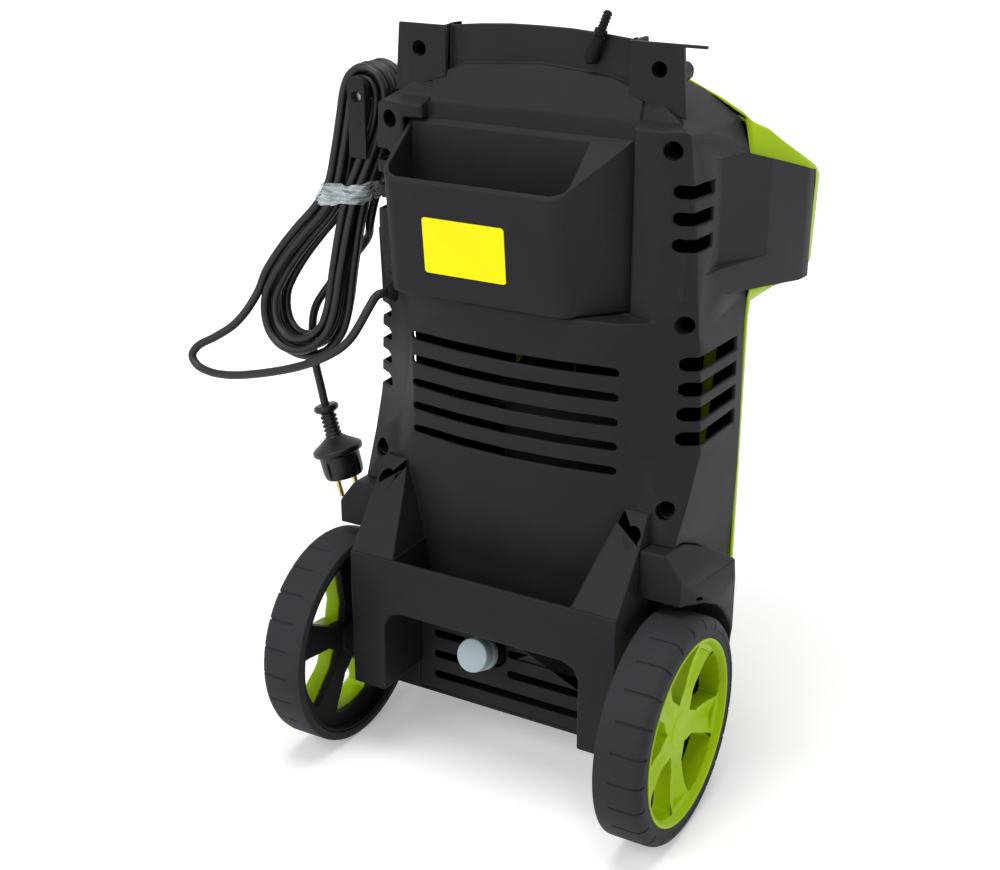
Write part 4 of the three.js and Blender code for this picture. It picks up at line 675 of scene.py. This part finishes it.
def addWheels():
    pieces = {
        "tyre": (makeTyre(), tyreRubber, "tyre_rubber"),
        "wheel": (makeWheel(), softBlack, "soft_black"),
        "wheel_trim": (makeTrim(), greenPlastic, "green_plastic"),
    }
    halfTurn = Matrix.Rotation(math.pi, 4, "Y")
    for side, turn in (("left", Matrix.Identity(4)), ("right", halfTurn)):
        for kind, (source, finish, slot) in pieces.items():
            obj = objectFrom(f"{side}_{kind}_look", source.data.copy())
            moved(obj, Matrix.Translation(axle) @ turn)
            place(obj, f"{side}_road_wheel", finish, [f"{side}_{kind}"], slot)
    for source, _, _ in pieces.values():
        bpy.data.objects.remove(source)
    print("wheels made")


addWheels()

# The cap on the water inlet.
cap = {
    "tilt": 20.05, "base": (0.02, -0.02, 0.071), "from": 0.083,
    "profile": [  # radius and distance from the open end
        (0.0113, 0.0), (0.0136, 0.0), (0.014, 0.0004), (0.014, 0.0052), (0.0134, 0.0058), (0.0118, 0.0062),
        (0.0118, 0.0092), (0.0133, 0.0097), (0.014, 0.0102), (0.014, 0.018), (0.0134, 0.0193),
        (0.0118, 0.0199), (0.0, 0.02), (0.0, 0.0172), (0.0113, 0.0172),
    ],
}


def addCap():
    obj = smoothed(lathe("inletCap", cap["profile"], 72), 30)
    along = Vector((0, *polar(1, cap["tilt"])))
    aimed(obj, Vector(cap["base"]) + along * cap["from"], along)
    place(obj, "cap", greyPlastic, ["inlet_cap"], "grey_plastic")
    print("cap made")


addCap()

# The hose nipple on the crown: an elbow and a leaning stem with five barbs.
nipple = {
    "foot": (-0.044, 0.0118, 0.579), "lean": 21.8, "radius": 0.0047, "length": 0.036, "sunk": 0.001,
    "collar": [  # shares of radius and length
        (1.0, 0.0), (0.97, 0.47), (0.7, 0.49), (0.7, 0.52), (1.02, 0.535), (1.02, 0.6), (0.62, 0.62),
    ],
    "barbs": [(share + past, wide) for share in (0.64, 0.71, 0.78, 0.85, 0.92)
              for past, wide in ((0.0, 0.6), (0.012, 0.76), (0.055, 0.6))],
    "elbow": [
        (0.0, -0.0045), (0.003, -0.0037), (0.0044, -0.0015), (0.0046, 0.001), (0.0042, 0.003),
        (0.0042, 0.016), (0.0, 0.016),
    ],
}


def addNipple():
    n = nipple
    r, length = n["radius"], n["length"]
    outline = [(0.0, -n["sunk"]), (r * 0.8, -n["sunk"])]
    outline += [(r * wide, length * share) for wide, share in n["collar"]]
    outline += [(r * wide, length * share) for share, wide in n["barbs"]]
    outline += [(r * 0.45, length), (0.0, length)]
    up, out = polar(1, n["lean"])
    stem = aimed(lathe("stem", outline, 40), n["foot"], Vector((-out, 0, up)))
    elbow = aimed(lathe("elbow", n["elbow"], 40), n["foot"], Vector((0, -1, 0)))
    obj = smoothed(joined("hoseNipple", [stem, elbow]), 40)
    place(obj, "machine", softBlack, ["hose_nipple"], "soft_black")


addNipple()

# Casing screws, seen down their wells.
screw = {
    "profile": [  # radius and height over the head's seat
        (0.0, -0.026), (0.0012, -0.026), (0.002, -0.023), (0.002, 0.0), (0.0038, 0.0), (0.0038, 0.0013),
        (0.00304, 0.00221), (0.00152, 0.0026), (0.0, 0.0026),
    ],
    "rise": 0.0003, "arm": 0.00228, "thick": 0.000608, "crossFloor": 0.00091, "crossMouth": 0.0052,
}
screwNodes = [
    "right_pillar_screw", "left_pillar_screw", "right_middle_screw", "right_upper_arm_screw",
    "left_upper_arm_screw", "right_lower_arm_screw", "left_lower_arm_screw",
]


def addScrews():
    s = screw
    one = lathe("screwCopy", s["profile"], 24)
    cross = []
    for u, v in ((s["arm"], s["thick"]), (s["thick"], s["arm"])):
        cross.append(prismX("arm", [(-u, -v), (u, -v), (u, v), (-u, v)], s["crossFloor"], s["crossMouth"]))
    cutAway(one, cross)
    smoothed(moved(one, quarterTurn))
    seats = meshFrom("screwPlaces", [(x, wells["seat"] + s["rise"], z) for x, z in wells["middles"]], [])
    obj = grow(objectFrom("casingScrews", seats), copiesOnPoints, Copy=one, Material=zincSteel)
    bpy.data.objects.remove(one)
    place(obj, "machine", zincSteel, screwNodes, "plated_steel")
    print("screws placed")


addScrews()

# The bare yellow sticker on the pocket's leaning face.
sticker = {
    "right": -0.005, "left": 0.065, "foot": 0.4185, "top": 0.462, "corner": 0.0025, "cornerSteps": 6,
    "rim": 0.488, "lean": 0.0989, "face": 0.0713, "wall": 0.0005,
}


# A point of the sticker's outline on the pocket's face, or so far out from it.
def onPocket(x, z, past):
    return x, sticker["face"] - (sticker["rim"] - z) * sticker["lean"] + past, z


def addSticker():
    s = sticker
    r = s["corner"]
    corners = [  # middle of the corner's curve, and the angle where it starts
        (s["left"] - r, s["top"] - r, 0), (s["right"] + r, s["top"] - r, 90),
        (s["right"] + r, s["foot"] + r, 180), (s["left"] - r, s["foot"] + r, 270),
    ]
    outline = []
    for x, z, start in corners:
        for step in range(s["cornerSteps"]):
            across, up = polar(r, start + step * 90 / (s["cornerSteps"] - 1))
            outline.append((x + across, z + up))
    points = [onPocket(x, z, past) for past in (0.0, s["wall"]) for x, z in outline]
    obj = objectFrom("bareSticker", cleaned(meshFrom("bareSticker", points, prismFaces(len(outline))), 0))
    place(obj, "machine", yellowFilm, ["pocket_sticker"], "yellow_film")


addSticker()

# The rotary switch's knob on the front: a disc with a bar across it, on a short shaft.
knob = {
    "z": 0.4, "face": -0.1483,
    "disc": [
        (0.0, 0.0), (0.0236, 0.0), (0.0236, 0.0028575), (0.023, 0.004572), (0.0216, 0.005715),
        (0.0, 0.005715),
    ],
    "shaft": [(0.0, -0.0285), (0.004, -0.0285), (0.004, 0.001), (0.0, 0.001)],
    "barHalf": 0.0045, "barReach": 0.0226, "barFoot": 0.001, "barTop": 0.0127, "barRound": 0.0022,
}


def addKnob():
    k = knob
    disc, shaft = lathe("disc", k["disc"], 72), lathe("shaft", k["shaft"], 32)
    half, reach = k["barHalf"], k["barReach"]
    corners = [(-half, -reach), (half, -reach), (half, reach), (-half, reach)]
    bar = rounded(prismX("bar", corners, k["barFoot"], k["barTop"]), k["barRound"], segments=3)
    obj = joined("switchKnob", [disc, shaft, bar])
    moved(obj, Matrix.Translation((0, k["face"], k["z"])) @ quarterTurn.inverted())
    smoothed(obj)
    place(obj, "knob", softBlack, ["switch_knob"], "soft_black")
    print("knob made")


addKnob()

# The mains cord: the route that the CAD gives it, in metres and from the axle, as one line.
cord = {
    "radius": 0.0036, "hankEnd": 7.79, "hankPhase": 0.13, "pitch": 0.00825, "topSetback": 0.086,
    "footSetback": 0.05, "topHeight": 0.505, "footHeight": 0.316, "sides": 3, "step": 0.0035,
    "layerChanges": (2, 4, 6), "middleLayer": 1.5,
}
leadRoute = [
    (0.1246, -0.0397, 0.384), (0.1263, -0.037, 0.384), (0.1288, -0.0334, 0.3825), (0.133, -0.0285, 0.3735),
    (0.1385, -0.0238, 0.361), (0.1445, -0.0205, 0.35), (0.153, -0.0195, 0.3405), (0.164, -0.019, 0.3325),
    (0.178, -0.0185, 0.3245), (0.194, -0.018, 0.317), (0.2115, -0.0175, 0.3105), (0.24, -0.017, 0.302),
    (0.271, -0.0175, 0.295), (0.294, -0.0185, 0.2938), (0.308, -0.0195, 0.2975), (0.3135, -0.021, 0.3045),
    (0.309, -0.0235, 0.3125), (0.292, -0.0275, 0.3228), (0.276, -0.032, 0.334), (0.266, -0.0375, 0.346),
]
dropRoute = [
    (0.174, -0.09, 0.412), (0.192, -0.0905, 0.39), (0.213, -0.0875, 0.366), (0.227, -0.0835, 0.343),
    (0.2275, -0.0785, 0.319), (0.2228, -0.075, 0.296), (0.217, -0.073, 0.278),
]
hankShape = [  # (x, z) round one loop
    (0.251, 0.362), (0.243, 0.381), (0.224, 0.409), (0.203, 0.433), (0.191, 0.451), (0.1865, 0.472),
    (0.1834, 0.5), (0.18, 0.522), (0.1762, 0.537), (0.17, 0.5466), (0.1613, 0.55), (0.1526, 0.5468),
    (0.147, 0.5385), (0.1462, 0.527), (0.1486, 0.514), (0.1535, 0.496), (0.1615, 0.474), (0.1685, 0.454),
    (0.174, 0.424), (0.1775, 0.392), (0.1805, 0.358), (0.1885, 0.336), (0.203, 0.324), (0.221, 0.32),
    (0.238, 0.3256), (0.249, 0.341),
]
hankRings = [  # shares of the loop's length
    0, 0.03, 0.07, 0.12, 0.17, 0.21, 0.265, 0.32, 0.355, 0.377, 0.396, 0.415, 0.435, 0.456, 0.49, 0.55, 0.605,
    0.65, 0.72, 0.78, 0.815, 0.85, 0.88, 0.91, 0.94, 0.97,
]
plug = {
    "top": (0.2123, -0.072, 0.2615), "axis": (-0.277, 0.0, -0.961), "length": 0.066, "flange": 0.022,
    "profile": [  # shares of the flange's radius and of the length
        (0.164, 0.0), (0.4, 0.0), (0.47, 0.015), (0.5, 0.04), (0.48, 0.075), (0.4, 0.095), (0.27, 0.12),
        (0.25, 0.3), (0.28, 0.4), (0.36, 0.44), (0.55, 0.49), (0.78, 0.54), (0.94, 0.575), (1.0, 0.595),
        (1.0, 0.64), (0.97, 0.66), (0.88, 0.672), (0.81, 0.68), (0.8, 0.9), (0.77, 0.965), (0.7, 1.0),
        (0.0, 1.0), (0.0, 0.02), (0.164, 0.02),
    ],
    "slot": {"half": 0.0021, "deep": 0.72, "out": 0.9, "from": 0.74, "to": 1.1},
    "rib": [(0.2, 0.0), (0.31, 0.0002), (0.335, 0.0009), (0.335, 0.0016), (0.31, 0.0023), (0.2, 0.0025)],
    "ribs": 5, "ribStep": 0.0038, "ribStart": 0.15,
    "pin": [
        (0.0, -0.004), (0.0024, -0.004), (0.0024, 0.0165), (0.0021, 0.0183), (0.0012, 0.0189), (0.0, 0.019),
    ],
    "pinSide": 0.0095,
}


# A centripetal curve through points, with its place and direction at each share of a span.
def splinePoint(points, closed, position):
    count = len(points)
    spans = count if closed else count - 1
    span = min(int(position), spans - 1)
    t = position - span

    def at(i):
        if closed:
            return points[i % count]
        if i < 0:
            return points[0] * 2 - points[1]
        if i >= count:
            return points[-1] * 2 - points[-2]
        return points[i]

    p0, p1, p2, p3 = (at(span + k) for k in (-1, 0, 1, 2))
    d0, d1, d2 = (max((b - a).length, 1e-9) ** 0.5 for a, b in ((p0, p1), (p1, p2), (p2, p3)))
    m1 = ((p1 - p0) / d0 - (p2 - p0) / (d0 + d1) + (p2 - p1) / d1) * d1
    m2 = ((p2 - p1) / d1 - (p3 - p1) / (d1 + d2) + (p3 - p2) / d2) * d1
    c2 = -3 * p1 + 3 * p2 - 2 * m1 - m2
    c3 = 2 * p1 - 2 * p2 + m1 + m2
    return p1 + m1 * t + c2 * t * t + c3 * t * t * t


# The places and directions on a curve through points, at shares of its length.
def evenly(points, closed, steps, fine=24):
    spans = (len(points) if closed else len(points) - 1) * fine
    dense = [splinePoint(points, closed, i / fine) for i in range(spans + 1)]
    lengths = np.cumsum([0] + [(b - a).length for a, b in zip(dense, dense[1:])])
    found = []
    for share in steps:
        want = share * lengths[-1]
        i = min(max(int(np.searchsorted(lengths, want)) - 1, 0), len(dense) - 2)
        part = (want - lengths[i]) / max(lengths[i + 1] - lengths[i], 1e-12)
        found.append((dense[i].lerp(dense[i + 1], part), (dense[i + 1] - dense[i]).normalized()))
    return found


# The hank spirals in and out between two widths, and every two turns it moves one cord forward.
def hankRoute():
    c = cord
    shape = [Vector((x, 0, z)) for x, z in hankShape]
    rings = evenly(shape, True, hankRings)
    points = []
    for loop in range(math.ceil(c["hankEnd"])):
        for share, (spot, along) in zip(hankRings, rings):
            phase = loop + share + c["hankPhase"]
            if phase >= c["hankEnd"]:
                continue
            nest = 2 * abs(1 - ((phase / 2) % 2))
            layer = sum(min(max((phase - change) * 2 + 0.5, 0), 1) for change in c["layerChanges"])
            out = (nest - 1) * c["pitch"]
            height = min((spot.z - c["footHeight"]) / (c["topHeight"] - c["footHeight"]), 1)
            setback = c["footSetback"] + (c["topSetback"] - c["footSetback"]) * height
            depth = (c["middleLayer"] - layer) * c["pitch"] - setback
            points.append(Vector((spot.x + along.z * out, depth, spot.z - along.x * out)))
    return points


def cordLine():
    hank = hankRoute()
    end = Vector(plug["top"]) - Vector(plug["axis"]).normalized() * cord["radius"]
    drop = [Vector(p) for p in dropRoute] + [end, Vector(plug["top"])]
    whole = [Vector(p) for p in leadRoute] + hank + drop
    dense = []
    for i in range(len(whole) - 1):
        steps = max(2, round((whole[i + 1] - whole[i]).length / cord["step"]))
        dense += [splinePoint(whole, False, i + k / steps) for k in range(steps)]
    dense.append(whole[-1])
    shift = Vector((0, axle.y, 0))
    return [p + shift for p in dense]


def addCord(line, riding):
    data = bpy.data.curves.new("mainsCord", "CURVE")
    data.dimensions = "3D"
    data.bevel_depth = cord["radius"]
    data.bevel_resolution = cord["sides"]
    data.use_fill_caps = True
    spline = data.splines.new("POLY")
    spline.points.add(len(line) - 1)
    for point, spot in zip(spline.points, line):
        point.co = (*spot, 1)
    spline.use_smooth = True
    data.materials.append(cordRubber)
    obj = bpy.data.objects.new("mainsCord", data)
    bpy.context.scene.collection.objects.link(obj)
    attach(obj, "machine")
    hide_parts("cord_lead", "cord_hank", "cord_drop")


# The earthed plug with its ribbed sleeve and four grooves down its end.
def addPlug():
    p, s = plug, plug["slot"]
    f, l = p["flange"], p["length"]
    body = lathe("plugBody", [(f * r, l * x) for r, x in p["profile"]], 72)
    slots = []
    corners = [(f * s["deep"], -s["half"]), (f * s["out"], -s["half"]), (f * s["out"], s["half"]),
               (f * s["deep"], s["half"])]
    for turn in (0, 90, 180, 270):
        across, up = polar(1, turn)
        outline = [(u * across - v * up, u * up + v * across) for u, v in corners]
        slots.append(prismX("slot", outline, l * s["from"], l * s["to"]))
    cutAway(body, slots)
    cleaned(body.data, 0.3)
    rounded(body, 0.0006)
    rib = lathe("rib", [(f * r, x) for r, x in p["rib"]], 40)
    ribs = grow(rib, rowOfCopies, Copies=p["ribs"], Step=(p["ribStep"], 0.0, 0.0), Material=cordRubber)
    moved(ribs, Matrix.Translation((l * p["ribStart"], 0, 0)))
    shell = joined("mainsPlug", [body, ribs])
    pins = []
    for side in (-p["pinSide"], p["pinSide"]):
        pins.append(moved(lathe("pin", p["pin"], 28), Matrix.Translation((l, 0, side))))
    both = joined("plugPins", pins)
    axis = Vector(p["axis"]).normalized()
    turn = Matrix((axis, Vector((0, 1, 0)), axis.cross(Vector((0, 1, 0))))).transposed().to_4x4()
    stand = Matrix.Translation(Vector(p["top"]) + Vector((0, axle.y, 0))) @ turn
    for obj in (shell, both):
        smoothed(moved(obj, stand))
    place(shell, "machine", cordRubber, ["mains_plug"], "cord_rubber")
    place(both, "machine", brassPin, [], "plated_steel")
    print("plug made")
    return [shell, both]


# Crumpled clear tape round the hank.
tape = {
    "foot": 0.445, "top": 0.4625, "clear": 0.0012, "steps": 96, "rows": 10, "thick": 0.00025,
    "seen": 0.006, "inner": 0.14, "corner": 5, "droop": 0.12, "level": 0.175, "lean": -0.42, "footShare": -0.7,
    "creases": [(9, 5, 0, 0.0007), (17, -11, 1, 0.00042), (31, 19, 0, 0.00028)],  # round, up, start, depth
    "ragged": [(5, 1.3, 0.0012), (13, 0, 0.0006)],  # round, start, height
}


def addTape(line):
    t = tape
    middle = (t["foot"] + t["top"]) / 2
    near = [p for p in line if abs(p.z - middle) < t["seen"] and p.x > t["inner"]]
    reach = cord["radius"] + t["clear"]
    low = Vector((min(p.x for p in near) - reach, min(p.y for p in near) - reach, 0))
    high = Vector((max(p.x for p in near) + reach, max(p.y for p in near) + reach, 0))
    centre, half = (low + high) / 2, (high - low) / 2
    points, faces = [], []
    for row in range(t["rows"]):
        v = row / (t["rows"] - 1)
        for i in range(t["steps"]):
            a = 2 * math.pi * i / t["steps"]
            c, s = math.cos(a), math.sin(a)
            power = (abs(c) ** t["corner"] + abs(s) ** t["corner"]) ** (-1 / t["corner"])
            x, y = centre.x + half.x * power * c, centre.y + half.y * power * s
            crease = sum(deep * math.sin(turns * a + up * v + start) for turns, up, start, deep in t["creases"])
            ragged = sum(height * math.sin(turns * a + start) for turns, start, height in t["ragged"])
            z = t["foot"] + (t["top"] - t["foot"]) * v + (t["level"] - x) * t["droop"]
            z += ragged * (1 if v > 0.5 else t["footShare"])
            points.append((x + crease * c + (z - middle) * t["lean"], y + crease * s, z))
        if row:
            faces += band(t["steps"], (row - 1) * t["steps"], row * t["steps"])
    obj = objectFrom("clearTie", meshFrom("clearTie", points, faces))
    wall = obj.modifiers.new("wall", "SOLIDIFY")
    wall.thickness = t["thick"]
    settle(obj)
    smoothed(obj, 60)
    place(obj, "machine", clearTape, ["hank_tie"], "clear_tape")
    print("tape made")
    return obj


cordPath = cordLine()
addCord(cordPath, [*addPlug(), addTape(cordPath)])

# Floor, backdrop and light.
studio = {
    "floor": 0.9, "sky": 0.3, "size": 6.0, "drop": 0.0004, "fade": (0.45, 1.6), "glow": (0.3, 1.0),
    "lampsLookAt": (0, 0, 0.3),
}
lamps = {
    "keyLamp": {"spot": (0.9, 2.4, 1.8), "size": 2.0, "power": 47},
    "overheadLamp": {"spot": (0.0, 0.3, 2.6), "size": 1.6, "power": 40},
    "sideLamp": {"spot": (-2.4, -0.6, 1.0), "size": 1.6, "power": 17},
}


def addLamp(name, spot, size, power):
    data = bpy.data.lights.new(name, "AREA")
    data.size = size
    data.energy = power
    lamp = bpy.data.objects.new(name, data)
    bpy.context.scene.collection.objects.link(lamp)
    lamp.location = spot
    lamp.rotation_mode = "QUATERNION"
    lamp.rotation_quaternion = (Vector(studio["lampsLookAt"]) - Vector(spot)).to_track_quat("-Z", "Y")


# One for the rays that see the background: from the camera, by a gloss or through glass.
def seeingRays(tree):
    path = tree.nodes.new("ShaderNodeLightPath")
    seen = path.outputs["Is Camera Ray"]
    for kind in ("Is Glossy Ray", "Is Transmission Ray"):
        either = tree.nodes.new("ShaderNodeMath")
        either.operation = "MAXIMUM"
        tree.links.new(seen, either.inputs[0])
        tree.links.new(path.outputs[kind], either.inputs[1])
        seen = either.outputs[0]
    return seen


def addBackdrop():
    world = bpy.data.worlds.new("studio")
    bpy.context.scene.world = world
    world.use_nodes = True
    tree = world.node_tree
    tree.nodes.clear()
    out = tree.nodes.new("ShaderNodeOutputWorld")
    mix = tree.nodes.new("ShaderNodeMixShader")
    soft = addNode(tree, "ShaderNodeBackground", Color=(1, 1, 1, 1), Strength=studio["sky"])
    white = addNode(tree, "ShaderNodeBackground", Color=(1, 1, 1, 1), Strength=1.0)
    tree.links.new(seeingRays(tree), mix.inputs[0])
    tree.links.new(soft.outputs[0], mix.inputs[1])
    tree.links.new(white.outputs[0], mix.inputs[2])
    tree.links.new(mix.outputs[0], out.inputs[0])


# A pale floor that whitens away from the machine, so that only its shadow shows.
def addFloor():
    pale = studio["floor"]
    material = bpy.data.materials.new("paleFloor")
    material.use_nodes = True
    tree = material.node_tree
    tree.nodes.clear()
    link = tree.links.new
    out = tree.nodes.new("ShaderNodeOutputMaterial")
    diffuse = addNode(tree, "ShaderNodeBsdfDiffuse", Color=(pale, pale, pale, 1))
    glow = tree.nodes.new("ShaderNodeEmission")
    where = tree.nodes.new("ShaderNodeTexCoord")
    distance = addNode(tree, "ShaderNodeVectorMath", operation="LENGTH")
    shown = addNode(tree, "ShaderNodeMath", operation="MULTIPLY")
    both = tree.nodes.new("ShaderNodeAddShader")
    link(where.outputs["Object"], distance.inputs[0])
    link(spread(tree, distance.outputs["Value"], *studio["fade"], *studio["glow"]), shown.inputs[0])
    link(seeingRays(tree), shown.inputs[1])
    link(shown.outputs[0], glow.inputs["Strength"])
    link(diffuse.outputs[0], both.inputs[0])
    link(glow.outputs[0], both.inputs[1])
    link(both.outputs[0], out.inputs[0])
    size, level = studio["size"], -studio["drop"]
    corners = [(-size, -size, level), (size, -size, level), (size, size, level), (-size, size, level)]
    floor = objectFrom("paleFloor", meshFrom("paleFloor", corners, [(0, 1, 2, 3)]))
    floor.data.materials.append(material)


def addStudio():
    addBackdrop()
    addFloor()
    for name, lamp in lamps.items():
        addLamp(name, **lamp)
    bpy.context.scene.view_settings.view_transform = "Standard"
    print("studio lit")


addStudio()
